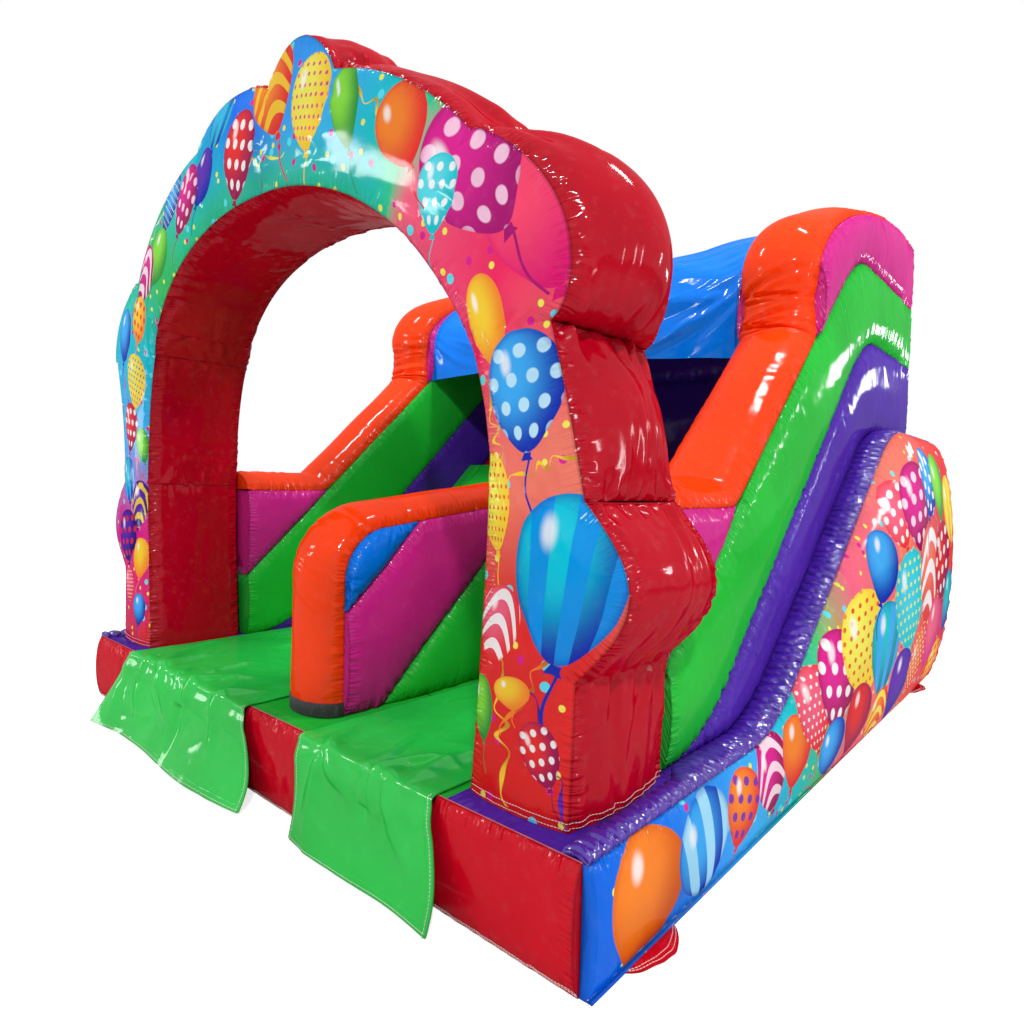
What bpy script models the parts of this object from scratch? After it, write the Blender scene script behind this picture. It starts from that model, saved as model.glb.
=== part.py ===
"""Inflatable party slide with a front arch, a divided entry, walls of stacked air tubes and a canopy.

Metres, +Z up. The origin is the centre of the base's underside, and the arch faces -Y.
Every air chamber is a closed solid with its seams where the fabric panels meet.
"""

import math

import bmesh
import bpy
from mathutils import Matrix, Vector

# Driving dimensions of the base and the walls
BASE_WIDTH = 3.0
BASE_DEPTH = 3.5
BEAM_HEIGHT = 0.30
BEAM_DEPTH = 0.54
BEAM_CROWN = 0.03
SEAM_GAP = 0.0006
WALL_INNER = 1.05
WALL_THICKNESS = 0.32
TUBE_CROWN = 0.038
SIDE_FOOT = 1.10
SIDE_CREST = 2.52
SIDE_CROWN_RATIO = 0.105
PURPLE_FOOT = 0.78
PURPLE_CREST = 2.45
GREEN_FOOT = 0.21
GREEN_CREST = 2.26
LOW_WALL_HEIGHT = 1.055
CORNER_EASE = 0.36
TOWER_FRONT = 1.76
TOWER_HEIGHT = 2.59
TOWER_HEAD = 0.55
PINK_BAND = 0.36
GREEN_BAND = 0.35
PURPLE_BAND = 0.45
TOWER_CREST = 3.20
TOWER_ROUND = 1.7
CAPPING_CROWN = 0.10
TOWER_TOP_CROWN = 0.05
LEDGE_RISE = 0.012
LEDGE_INSET = 0.015
THINNEST_BAND = 0.012

# Slide, climbing steps and platform between the walls
SLOPE_FOOT = 1.15
PLATFORM_FRONT = 2.15
PLATFORM_HEIGHT = 1.25
STEP_COUNT = 4
STEP_RADIUS = 0.085
REAR_CROWN = 0.07
REAR_WALL_DEPTH = 0.28
REAR_WALL_DROP = 0.06
REAR_CAPPING = 0.05

# Divider between the lanes
DIVIDER_X = 0.22
DIVIDER_THICKNESS = 0.27
DIVIDER_FRONT = 0.17
DIVIDER_HEIGHT = 0.93
DIVIDER_RISE = 0.12
DIVIDER_CORNER = 0.16
DIVIDER_CAPPING = 0.09
DIVIDER_TAIL = 0.02
DIVIDER_BLUE_LOW = 0.66
DIVIDER_PINK_FOOT = 0.33
DIVIDER_BAND_SLOPE = 0.94
DIVIDER_BAND_HEIGHT = 0.05
DIVIDER_BAND_THICKNESS = 0.004
DIVIDER_BAND_CUTS = 7

# Arch
ARCH_SETBACK = 0.076
ARCH_THICKNESS = 0.43
ARCH_BOW = 0.10
ARCH_BOW_FROM = 1.20
ARCH_INNER = 1.07
ARCH_LEG = 0.32
ARCH_FLARE = 0.04
LEG_SPREAD = 0.02
ARCH_SPRING = 1.10
ARCH_INNER_TOP = 2.08
ARCH_OUTER_TOP = 2.41
ARCH_SQUARENESS = 2.2
ARCH_FRONT_CROWN = 0.018
ARCH_CROWN = 0.03
LEG_TOP = 1.08
LEG_BALL_LOW = 0.66
LEG_BALL_REACH = 0.13
NECK_SHARE = 0.61
LEFT_NECK_SHARE = 0.843
NECK_PINCH = 0.08
LEFT_NECK_PINCH = -0.02
SHOULDER_BULGE = 0.138
LEFT_SHOULDER_BULGE = 0.09
SHOULDER_CUTS = 9
LEG_CUTS = 6
SHOULDER_ANGLE = 41.0
BALL_SWELL = 0.10
BALL_FULLNESS = 0.7
BALL_DROP = 0.76
CROWN_SEAM_ANGLES = (SHOULDER_ANGLE, 70.0, 85.0, 104.0, 180.0 - SHOULDER_ANGLE)
CROWN_SWELL = 0.03
CROWN_CUTS = 6
ARCH_CUTS = (4, 6, 4, 4)
ORANGE_LOBE_RISE = 0.12
BLUE_LOBE_RISE = 0.06

# Canopy, aprons, anchors, air sleeve and zip
CANOPY_THICKNESS = 0.012
CANOPY_DROP = 0.35
CANOPY_INSET = 0.03
CANOPY_RISE = 0.05
CANOPY_FOLD = 0.012
CANOPY_FOLDS = 3.5
CANOPY_COLUMNS = 17
CANOPY_STATION_SHARES = (0.03, 0.1, 0.2, 0.35, 0.6, 1.0)
CANOPY_RISEN_SHARE = 0.35
APRON_THICKNESS = 0.004
APRON_SIDE_GAP = 0.01
APRON_HINGE_Y = 0.0
APRON_SETBACK = 0.011
APRON_LIE = 1.05
APRON_HEM_HEIGHT = 0.008
APRON_REACH = 0.11
APRON_ROUND = 0.04
APRON_BEND_SHARE = 0.25
APRON_SPREAD = 0.04
APRON_LEFT_SPREAD = 0.12
APRON_FOLD = 0.02
APRON_FOLDS = ((1.6, 0.15), (3.1, 0.4))
APRON_COLUMNS = 15
APRON_ROWS = 8
TAB_LENGTH = 0.40
TAB_REACH = 0.075
TAB_THICKNESS = 0.005
TAB_STRIP = 0.012
TAB_LOBE_SHARE = 0.2
TAB_FRONT = 0.05
TAB_CUTS = 13
SLEEVE_RADIUS = 0.12
SLEEVE_WALL = 0.006
SLEEVE_LENGTH = 0.30
SLEEVE_X = 0.70
SLEEVE_STRAP_WIDTH = 0.04
SLEEVE_STRAP_THICKNESS = 0.003
SLEEVE_STRAP_SHARE = 0.55
SLEEVE_SIDES = 24
ZIP_LENGTH = 0.60
ZIP_TAPE_HEIGHT = 0.05
ZIP_TAPE_THICKNESS = 0.003
ZIP_X = -0.45
ZIP_SLIDER = 0.024
ZIP_SLIDER_DEPTH = 0.008
ZIP_FLAP_OVERLAP = 0.02
ZIP_FLAP_HEIGHT = 0.09
ZIP_FLAP_THICKNESS = 0.003

SLOPE_STATIONS = 10
TOWER_STATION_SHARES = (0.0, 0.04, 0.12, 0.24, 0.38, 0.56, 1.0)
TUBE_CUTS = 5
SMOOTH_ANGLE = 40.0
CLEAR = 0.0003

# Colours of the coated fabric
CRIMSON = (0.55, 0.005, 0.022)
RED = (0.72, 0.01, 0.025)
ORANGE = (0.95, 0.09, 0.02)
GREEN = (0.02, 0.42, 0.04)
APRON_GREEN = (0.03, 0.68, 0.10)
PURPLE = (0.09, 0.03, 0.40)
PINK = (0.60, 0.02, 0.25)
BLUE = (0.0, 0.22, 0.90)
BLACK = (0.015, 0.015, 0.018)
SILVER = (0.7, 0.7, 0.7)
PRINT = (0.75, 0.15, 0.12)

TOWER_SHOULDER = TOWER_HEIGHT - TOWER_HEAD
GREEN_HEIGHT = TOWER_HEIGHT - PINK_BAND
PURPLE_HEIGHT = GREEN_HEIGHT - GREEN_BAND
SIDE_HEIGHT = PURPLE_HEIGHT - PURPLE_BAND
REAR_WALL_TOP = TOWER_HEIGHT - REAR_WALL_DROP
WALL_FRONT = BEAM_DEPTH + SEAM_GAP
WALL_OUTER = WALL_INNER + WALL_THICKNESS
LANE_HALF = WALL_INNER - SEAM_GAP
HALF_WIDTH = BASE_WIDTH / 2


def material(name, colour, roughness=0.25, metallic=0.0):
    found = bpy.data.materials.get(name)
    if found:
        return found
    made = bpy.data.materials.new(name)
    made.use_nodes = True
    shader = made.node_tree.nodes["Principled BSDF"]
    shader.inputs["Base Color"].default_value = (*colour, 1.0)
    shader.inputs["Roughness"].default_value = roughness
    shader.inputs["Metallic"].default_value = metallic
    made.diffuse_color = (*colour, 1.0)
    return made


def from_front(y):
    """World Y of a distance measured back from the base's front edge."""
    return y - BASE_DEPTH / 2


def add_object(name, mesh, slot, colour, place=(0, 0, 0)):
    made = bpy.data.objects.new(name, mesh)
    made.location = place
    mesh.materials.append(material(slot, colour))
    mesh.shade_smooth()
    mesh.set_sharp_from_angle(angle=math.radians(SMOOTH_ANGLE))
    bpy.data.collections[PART_NAME].objects.link(made)
    return made


def loft(name, rings, slot, colour, place=(0, 0, 0)):
    """A closed solid through rings of equal counts, with a flat face on each end."""
    bm = bmesh.new()
    place = Vector(place)
    rows = [[bm.verts.new(point - place) for point in ring] for ring in rings]
    count = len(rows[0])
    for low, high in zip(rows, rows[1:]):
        for i in range(count):
            j = (i + 1) % count
            bm.faces.new((low[i], low[j], high[j], high[i]))
    bm.faces.new(reversed(rows[0]))
    bm.faces.new(rows[-1])
    bmesh.ops.recalc_face_normals(bm, faces=bm.faces)
    mesh = bpy.data.meshes.new(name)
    bm.to_mesh(mesh)
    bm.free()
    return add_object(name, mesh, slot, colour, place)


def section(low, high, across, halves, crowns, cuts, arc=False):
    """Four seams and the fabric between them, each side swelling by its own crown.

    low and high are the middles of the two mated sides, and halves their half widths.
    crowns and cuts go round: plus side, high side, minus side, low side. A side swells to
    half an ellipse, or with arc to a shallow bow.
    """
    up = (high - low).normalized()
    corners = (low + across * halves[0], high + across * halves[1],
               high - across * halves[1], low - across * halves[0])
    outs = (across, up, -across, -up)
    ring = []
    for i in range(4):
        start, end = corners[i], corners[(i + 1) % 4]
        for step in range(cuts[i]):
            angle = math.pi * step / cuts[i]
            share = step / cuts[i] if arc else (1 - math.cos(angle)) / 2
            swell = 4 * share * (1 - share) if arc else math.sin(angle)
            ring.append(start.lerp(end, share) + outs[i] * crowns[i] * swell)
    return ring


def eased_ramp(y, foot, crest, low, high):
    """A straight slope from (foot, low) to (crest, high) with its two corners eased."""
    total = 0.0
    for tap in range(-2, 3):
        share = (y + tap * CORNER_EASE / 4 - foot) / (crest - foot)
        total += low + (high - low) * min(max(share, 0.0), 1.0)
    return total / 5


def ledge_z(y):
    return eased_ramp(y, SIDE_FOOT, SIDE_CREST, BEAM_HEIGHT, SIDE_HEIGHT)


def purple_z(y):
    return max(ledge_z(y), eased_ramp(y, PURPLE_FOOT, PURPLE_CREST, BEAM_HEIGHT, PURPLE_HEIGHT))


def green_z(y):
    return eased_ramp(y, GREEN_FOOT, GREEN_CREST, BEAM_HEIGHT, GREEN_HEIGHT)


def capping_z(y):
    """The seam under the orange capping: low wall, slope, then the tower's rounded head."""
    if y < TOWER_FRONT:
        return max(LOW_WALL_HEIGHT, green_z(y))
    share = max(TOWER_CREST - y, 0.0) / (TOWER_CREST - TOWER_FRONT)
    rise = (1 - share ** TOWER_ROUND) ** (1 / TOWER_ROUND)
    return TOWER_SHOULDER + (TOWER_HEIGHT - TOWER_SHOULDER) * rise


def spread(start, end, count):
    return [start + (end - start) * i / (count - 1) for i in range(count)]


def wall_stations():
    """Distances from the front where all the wall's seams have their points."""
    slope = spread(WALL_FRONT, TOWER_FRONT - SEAM_GAP, SLOPE_STATIONS)
    head = [TOWER_FRONT + (BASE_DEPTH - TOWER_FRONT) * share for share in TOWER_STATION_SHARES]
    return slope, head


def wall_band(name, side, low, high, stations, slot, colour):
    """One tube of a side wall between two seam lines, which are heights as functions of y."""
    x = side * (WALL_INNER + WALL_THICKNESS / 2)
    across = Vector((side, 0, 0))
    rings = []
    for y in stations:
        bottom = low(y) + SEAM_GAP / 2
        top = high(y) - SEAM_GAP / 2
        if top - bottom < THINNEST_BAND:
            continue
        crown = min(TUBE_CROWN, (top - bottom) / 4)
        rings.append(section(
            Vector((x, from_front(y), bottom)), Vector((x, from_front(y), top)), across,
            (WALL_THICKNESS / 2, WALL_THICKNESS / 2), (crown, 0, 0, 0), (TUBE_CUTS, 1, 1, 1)))
    return loft(name, rings, slot, colour)


def build_wall(side, word):
    slope, head = wall_stations()
    every = slope + head
    wall_band(f"{word}_wall_purple_tube", side, ledge_z, purple_z, every, "purple", PURPLE)
    wall_band(f"{word}_wall_green_tube", side, purple_z, green_z, every, "green", GREEN)
    wall_band(f"{word}_wall_front_pink", side, green_z, capping_z, slope, "pink", PINK)
    wall_band(f"{word}_wall_tower_pink", side, green_z, capping_z, head, "pink", PINK)
    build_capping(side, word, slope, head)


def build_capping(side, word, slope, head):
    """The orange panel over the wall's top edge and round the front of its tower."""
    seam = [(y, capping_z(y)) for y in slope]
    seam += [(y, capping_z(y)) for y in head]
    x = side * (WALL_INNER + WALL_THICKNESS / 2)
    across = Vector((side, 0, 0))
    steps = TUBE_CUTS + 2
    rings = []
    for i, (y, z) in enumerate(seam):
        before = Vector(seam[max(i - 1, 0)])
        after = Vector(seam[min(i + 1, len(seam) - 1)])
        along = (after - before).normalized()
        if i in (0, len(seam) - 1):
            along = Vector((1, 0))
        up = Vector((0, -along.y, along.x))
        base = Vector((x, from_front(y), z)) + up * SEAM_GAP / 2
        head_share = min(max((y - TOWER_FRONT) / (TOWER_CREST - TOWER_FRONT), 0.0), 1.0)
        crown = CAPPING_CROWN + (TOWER_TOP_CROWN - CAPPING_CROWN) * min(head_share * 2, 1.0)
        ring = []
        for step in range(steps + 1):
            angle = math.pi * step / steps
            ring.append(base + across * WALL_THICKNESS / 2 * math.cos(angle) + up * crown * math.sin(angle))
        rings.append(ring)
    return loft(f"{word}_wall_orange_capping", rings, "orange", ORANGE)


def build_side(side, word):
    """The raised side of the base, with its printed outer face, and the pleated ledge on it."""
    slope, head = wall_stations()
    across = Vector((side, 0, 0))
    rings = []
    for y in slope + head:
        z = ledge_z(y) - SEAM_GAP / 2
        half = z / 2
        middle = Vector((0, from_front(y), half))
        rings.append(section(
            middle + across * WALL_INNER, middle + across * HALF_WIDTH, Vector((0, 0, 1)),
            (half, half), (0, z * SIDE_CROWN_RATIO, 0, 0), (1, TUBE_CUTS, 1, 1)))
    loft(f"{word}_base_side", rings, "side_print", PRINT)
    ledge_inner = WALL_OUTER + LEDGE_INSET
    ledge_middle = (ledge_inner + HALF_WIDTH) / 2
    half = (HALF_WIDTH - ledge_inner) / 2
    rings = []
    for y in slope + head:
        low = Vector((side * ledge_middle, from_front(y), ledge_z(y) + SEAM_GAP / 2))
        ring = []
        for step in range(TUBE_CUTS + 1):
            angle = math.pi * step / TUBE_CUTS
            ring.append(low + across * half * math.cos(angle) + Vector((0, 0, LEDGE_RISE * math.sin(angle))))
        rings.append(ring)
    loft(f"{word}_pleated_ledge", rings, "purple", PURPLE)


def box(name, low, high, slot, colour, bevel=0.0):
    size = [high[i] - low[i] for i in range(3)]
    place = [(high[i] + low[i]) / 2 for i in range(3)]
    bm = bmesh.new()
    bmesh.ops.create_cube(bm, size=1.0, matrix=Matrix.Diagonal((*size, 1.0)))
    mesh = bpy.data.meshes.new(name)
    bm.to_mesh(mesh)
    bm.free()
    made = add_object(name, mesh, slot, colour, place)
    if bevel:
        rounding = made.modifiers.new("rounded edges", "BEVEL")
        rounding.width = bevel
        rounding.segments = 2
    return made


def build_base():
    beam_middle = BEAM_HEIGHT / 2
    rings = []
    for x in (-HALF_WIDTH, HALF_WIDTH):
        rings.append(section(
            Vector((x, from_front(0), beam_middle)), Vector((x, from_front(BEAM_DEPTH), beam_middle)),
            Vector((0, 0, 1)), (beam_middle, beam_middle), (0, 0, 0, BEAM_CROWN), (1, 1, 1, TUBE_CUTS + 1)))
    loft("front_base_beam", rings, "red", RED)
    box("lane_deck", (-LANE_HALF, from_front(BEAM_DEPTH + SEAM_GAP), 0),
        (LANE_HALF, from_front(SLOPE_FOOT - SEAM_GAP), BEAM_HEIGHT), "green", GREEN)
    foot = from_front(SLOPE_FOOT)
    crest = from_front(PLATFORM_FRONT)
    rings = []
    for x in (-LANE_HALF, LANE_HALF):
        rings.append([Vector((x, foot, 0)), Vector((x, foot, BEAM_HEIGHT)),
                      Vector((x, crest, PLATFORM_HEIGHT)), Vector((x, crest, 0))])
    loft("slide_bed", rings, "green", GREEN)
    half = PLATFORM_HEIGHT / 2
    rings = []
    for x in (-LANE_HALF, LANE_HALF):
        rings.append(section(
            Vector((x, crest + SEAM_GAP, half)), Vector((x, from_front(BASE_DEPTH), half)),
            Vector((0, 0, 1)), (half, half), (0, REAR_CROWN, 0, 0), (1, TUBE_CUTS + 1, 1, 1)))
    loft("platform", rings, "purple", PURPLE)


def slope_point(x, distance, lift):
    """A point a distance up the slide bed from its foot, lifted square to it."""
    run = Vector((0, PLATFORM_FRONT - SLOPE_FOOT, PLATFORM_HEIGHT - BEAM_HEIGHT))
    along = run.normalized()
    up = Vector((0, -along.z, along.y))
    start = Vector((x, from_front(SLOPE_FOOT), BEAM_HEIGHT))
    return start + along * distance + up * lift


def build_steps():
    """Half-round tubes across the climbing lane, flat where they lie on the bed."""
    length = math.hypot(PLATFORM_FRONT - SLOPE_FOOT, PLATFORM_HEIGHT - BEAM_HEIGHT)
    left = DIVIDER_X + DIVIDER_THICKNESS / 2 + TUBE_CROWN + SEAM_GAP
    right = LANE_HALF
    colours = (("purple", PURPLE), ("green", GREEN))
    for i in range(STEP_COUNT):
        middle = length * (i + 0.5) / STEP_COUNT
        rings = []
        for x in (left, right):
            ring = []
            for step in range(TUBE_CUTS + 3):
                angle = math.pi * step / (TUBE_CUTS + 2)
                lift = SEAM_GAP + STEP_RADIUS * math.sin(angle)
                ring.append(slope_point(x, middle - STEP_RADIUS * math.cos(angle), lift))
            rings.append(ring)
        loft(f"climbing_step_{i + 1}", rings, *colours[i % 2])


def build_rear_wall():
    half = REAR_WALL_DEPTH / 2
    y = from_front(BASE_DEPTH) - half
    bands = (("rear_wall_purple", PLATFORM_HEIGHT, PURPLE_HEIGHT, "purple", PURPLE),
             ("rear_wall_green", PURPLE_HEIGHT, GREEN_HEIGHT, "green", GREEN),
             ("rear_wall_pink", GREEN_HEIGHT, REAR_WALL_TOP, "pink", PINK))
    for name, low, high, slot, colour in bands:
        rings = []
        for x in (-LANE_HALF, LANE_HALF):
            rings.append(section(
                Vector((x, y, low + SEAM_GAP / 2)), Vector((x, y, high - SEAM_GAP / 2)), Vector((0, 1, 0)),
                (half, half), (TUBE_CROWN, 0, TUBE_CROWN, 0), (TUBE_CUTS, 1, TUBE_CUTS, 1)))
        loft(name, rings, slot, colour)
    rings = []
    for x in (-LANE_HALF, LANE_HALF):
        ring = []
        for step in range(TUBE_CUTS + 2):
            angle = math.pi * step / (TUBE_CUTS + 1)
            lift = REAR_WALL_TOP + SEAM_GAP + REAR_CAPPING * math.sin(angle)
            ring.append(Vector((x, y - half * math.cos(angle), lift)))
        rings.append(ring)
    loft("rear_wall_orange_capping", rings, "orange", ORANGE)


def divider_top(y):
    """Height of the seam under the divider's orange capping."""
    share = min(max((y - DIVIDER_FRONT) / (SLOPE_FOOT - DIVIDER_FRONT), 0.0), 1.0)
    level = DIVIDER_HEIGHT + DIVIDER_RISE * share
    inset = max(DIVIDER_FRONT + DIVIDER_CORNER - y, 0.0)
    drop = DIVIDER_CORNER - math.sqrt(max(DIVIDER_CORNER ** 2 - inset ** 2, 0.0))
    return level - drop


def divider_floor(y):
    slope = (PLATFORM_HEIGHT - BEAM_HEIGHT) / (PLATFORM_FRONT - SLOPE_FOOT)
    return BEAM_HEIGHT + max(y - SLOPE_FOOT, 0.0) * slope


def pink_foot_z(y):
    return BEAM_HEIGHT + (y - DIVIDER_PINK_FOOT) * DIVIDER_BAND_SLOPE


def blue_foot_z(y):
    return DIVIDER_BLUE_LOW + (y - DIVIDER_FRONT) * DIVIDER_BAND_SLOPE


def divider_end():
    """Where the divider's top seam meets the slide bed."""
    top = DIVIDER_HEIGHT + DIVIDER_RISE
    slope = (PLATFORM_HEIGHT - BEAM_HEIGHT) / (PLATFORM_FRONT - SLOPE_FOOT)
    return SLOPE_FOOT + (top - BEAM_HEIGHT) / slope


def divider_band(name, low, high, stations, slot, colour):
    across = Vector((1, 0, 0))
    rings = []
    for y in stations:
        bottom = max(low(y), divider_floor(y)) + SEAM_GAP / 2
        top = min(high(y), divider_top(y)) - SEAM_GAP / 2
        if top - bottom < THINNEST_BAND:
            continue
        crown = min(TUBE_CROWN, (top - bottom) / 4)
        half = DIVIDER_THICKNESS / 2
        rings.append(section(
            Vector((DIVIDER_X, from_front(y), bottom)), Vector((DIVIDER_X, from_front(y), top)), across,
            (half, half), (crown, 0, crown, 0), (TUBE_CUTS, 1, TUBE_CUTS, 1)))
    return loft(name, rings, slot, colour)


def build_divider():
    end = divider_end() - DIVIDER_TAIL
    corner = DIVIDER_FRONT + DIVIDER_CORNER
    stations = spread(DIVIDER_FRONT, corner, 5) + spread(corner, SLOPE_FOOT, 8)[1:]
    stations += spread(SLOPE_FOOT, end, 5)[1:]
    divider_band("divider_blue_panel", blue_foot_z, divider_top, stations, "blue", BLUE)
    divider_band("divider_pink_panel", pink_foot_z, blue_foot_z, stations, "pink", PINK)
    divider_band("divider_green_panel", divider_floor, pink_foot_z, stations, "green", GREEN)
    half = DIVIDER_THICKNESS / 2
    seam = [(DIVIDER_FRONT, z) for z in spread(BEAM_HEIGHT, divider_top(DIVIDER_FRONT), 4)]
    seam += [(y, divider_top(y)) for y in stations[1:]]
    rings = []
    for i, (y, z) in enumerate(seam):
        before = Vector(seam[max(i - 1, 0)])
        after = Vector(seam[min(i + 1, len(seam) - 1)])
        along = (after - before).normalized()
        up = Vector((0, -along.y, along.x))
        base = Vector((DIVIDER_X, from_front(y), z)) + up * SEAM_GAP / 2
        if i == 0:
            base.z += SEAM_GAP
        ring = []
        steps = TUBE_CUTS + 2
        for step in range(steps + 1):
            angle = math.pi * step / steps
            ring.append(base + Vector((half * math.cos(angle), 0, 0)) + up * DIVIDER_CAPPING * math.sin(angle))
        rings.append(ring)
    loft("divider_orange_capping", rings, "orange", ORANGE)


def arch_front(z):
    """The arch stands upright and its crown bows forwards."""
    share = min(max((z - ARCH_BOW_FROM) / (ARCH_OUTER_TOP - ARCH_BOW_FROM), 0.0), 1.0)
    return ARCH_SETBACK - ARCH_BOW * share * share * (3 - 2 * share)


def arch_curve(angle, half_width, top):
    """A point of the arch's inner or outer edge above its spring line."""
    power = 2 / ARCH_SQUARENESS
    x = half_width * max(math.cos(angle), 0.0) ** power
    z = ARCH_SPRING + (top - ARCH_SPRING) * math.sin(angle) ** power
    return x, z


def arch_ring(side, inner, outer, swell=0.0):
    """A cross-section of the arch; swell is how far its back and outer side balloon out."""
    low = Vector((side * inner[0], 0, inner[1]))
    high = Vector((side * outer[0], 0, outer[1]))
    front = arch_front((inner[1] + outer[1]) / 2)
    for point in (low, high):
        point.y = from_front(front + ARCH_THICKNESS / 2)
    half = ARCH_THICKNESS / 2
    crowns = (ARCH_FRONT_CROWN, ARCH_CROWN + swell, ARCH_CROWN + swell / 2, ARCH_CROWN)
    return section(low, high, Vector((0, -1, 0)), (half, half), crowns, ARCH_CUTS, arc=True)


def ball(share):
    return math.sin(math.pi * min(max(share, 0.0), 1.0))


def inner_angle(z):
    """The angle on the arch's inner edge at a height above its spring line."""
    share = min(max((z - ARCH_SPRING) / (ARCH_INNER_TOP - ARCH_SPRING), 0.0), 1.0)
    return math.asin(share ** (ARCH_SQUARENESS / 2))


def opening_edge(angle, height):
    """The opening's edge at an angle above the spring line; it flares at half the legs' height."""
    x, z = arch_curve(angle, ARCH_INNER, ARCH_INNER_TOP)
    if height < z:
        z = height
    return x + ARCH_FLARE * ball((z - BEAM_HEIGHT) / (ARCH_INNER_TOP - BEAM_HEIGHT)), z


def build_arch_side(side, word, neck_share, pinch, bulge):
    foot_x = ARCH_INNER + ARCH_LEG
    shoulder_z = arch_curve(math.radians(SHOULDER_ANGLE), ARCH_INNER, ARCH_INNER_TOP)[1]
    neck_height = LEG_TOP + (shoulder_z - LEG_TOP) * neck_share
    top_x = foot_x + LEG_SPREAD
    neck_x = foot_x - pinch
    rings = []
    straight = spread(BEAM_HEIGHT + SEAM_GAP, LEG_BALL_LOW, 3)[:-1]
    for z in straight + spread(LEG_BALL_LOW, LEG_TOP, LEG_CUTS):
        swell = ball((z - LEG_BALL_LOW) / (LEG_TOP - LEG_BALL_LOW))
        outer = foot_x + LEG_SPREAD * (z - BEAM_HEIGHT) / (LEG_TOP - BEAM_HEIGHT) + LEG_BALL_REACH * swell
        rings.append(arch_ring(side, opening_edge(0.0, z), (outer, z)))
    loft(f"arch_{word}_leg", rings, "crimson", CRIMSON)
    rings = []
    for z in spread(LEG_TOP + SEAM_GAP, neck_height, LEG_CUTS):
        share = (z - LEG_TOP) / (neck_height - LEG_TOP)
        rings.append(arch_ring(side, opening_edge(inner_angle(z), z), (top_x + (neck_x - top_x) * share, z)))
    loft(f"arch_{word}_column", rings, "crimson", CRIMSON)
    neck_z = neck_height + SEAM_GAP
    neck = Vector((neck_x, neck_z))
    end = Vector(arch_outer(math.radians(SHOULDER_ANGLE)))
    out = Vector((end.y - neck.y, neck.x - end.x)).normalized()
    rings = []
    for i, angle in enumerate(spread(inner_angle(neck_z), math.radians(SHOULDER_ANGLE), SHOULDER_CUTS)):
        share = i / (SHOULDER_CUTS - 1)
        swell = ball(share ** BALL_DROP) ** BALL_FULLNESS
        low = opening_edge(angle, ARCH_OUTER_TOP)
        high = neck.lerp(end, share) + out * bulge * swell
        rings.append(arch_ring(side, low, high, BALL_SWELL * swell))
    loft(f"arch_{word}_shoulder", rings, "crimson", CRIMSON)


def arch_outer(angle):
    return arch_curve(angle, ARCH_INNER + ARCH_LEG, ARCH_OUTER_TOP)


def build_arch_crown():
    """The top of the arch between its shoulders: four chambers, two of which stand up as lobes."""
    names = ("arch_crown_right", "arch_orange_lobe", "arch_blue_lobe", "arch_crown_left")
    rises = (0.0, ORANGE_LOBE_RISE, BLUE_LOBE_RISE, 0.0)
    gap_angle = SEAM_GAP / ARCH_INNER
    edges = [math.radians(edge) for edge in CROWN_SEAM_ANGLES]
    for name, rise, start, end in zip(names, rises, edges, edges[1:]):
        count = CROWN_CUTS if not rise else CROWN_CUTS + 2
        rings = []
        for i, angle in enumerate(spread(start + gap_angle, end, count)):
            folded = min(angle, math.pi - angle)
            side = 1 if angle <= math.pi / 2 else -1
            swell = ball(i / (count - 1)) ** BALL_FULLNESS
            low = opening_edge(folded, ARCH_OUTER_TOP)
            high = arch_curve(folded, ARCH_INNER + ARCH_LEG, ARCH_OUTER_TOP + rise * swell)
            rings.append(arch_ring(1, (side * low[0], low[1]), (side * high[0], high[1]), CROWN_SWELL))
        loft(name, rings, "crimson", CRIMSON)


def canopy_path():
    """The canopy's line in a side view, from its front hem up and back to the rear wall."""
    path = [(TOWER_FRONT + CANOPY_INSET, z) for z in spread(TOWER_SHOULDER - CANOPY_DROP, TOWER_SHOULDER, 4)]
    rear = BASE_DEPTH - REAR_WALL_DEPTH / 2
    for share in CANOPY_STATION_SHARES:
        y = TOWER_FRONT + CANOPY_INSET + (rear - TOWER_FRONT - CANOPY_INSET) * share
        path.append((y, capping_z(y - CANOPY_INSET) + CANOPY_RISE * min(share / CANOPY_RISEN_SHARE, 1.0)))
    path[-1] = (rear, REAR_WALL_TOP + REAR_CAPPING + SEAM_GAP * 2 + CANOPY_THICKNESS)
    return path


def build_canopy():
    """A stretched sheet between the towers, with slanting tension folds across its front."""
    path = canopy_path()
    normals = []
    for i in range(len(path)):
        before = Vector(path[max(i - 1, 0)])
        after = Vector(path[min(i + 1, len(path) - 1)])
        along = (after - before).normalized()
        normals.append(Vector((-along.y, along.x)))
    rings = []
    half = LANE_HALF - CLEAR
    for x in spread(-half, half, CANOPY_COLUMNS):
        share = (x + half) / (2 * half)
        pinned = ball(share) ** 0.5
        outer, inner = [], []
        for i, ((y, z), normal) in enumerate(zip(path, normals)):
            wave = math.sin(math.tau * (share * CANOPY_FOLDS + i / 3.0))
            lift = CANOPY_FOLD * wave * pinned * (1 - i / len(path))
            for points, level in ((outer, lift + CANOPY_THICKNESS / 2), (inner, lift - CANOPY_THICKNESS / 2)):
                points.append(Vector((x, from_front(y + normal.x * level), z + normal.y * level)))
        rings.append(outer + inner[::-1])
    loft("canopy_sheet", rings, "blue", BLUE)


def apron_wave(share, fall):
    """Depth of the apron's main folds across its width; they deepen towards the hem."""
    folds = sum(math.sin(math.tau * (share * count + start)) / count for count, start in APRON_FOLDS)
    return APRON_FOLD * folds * fall


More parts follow.
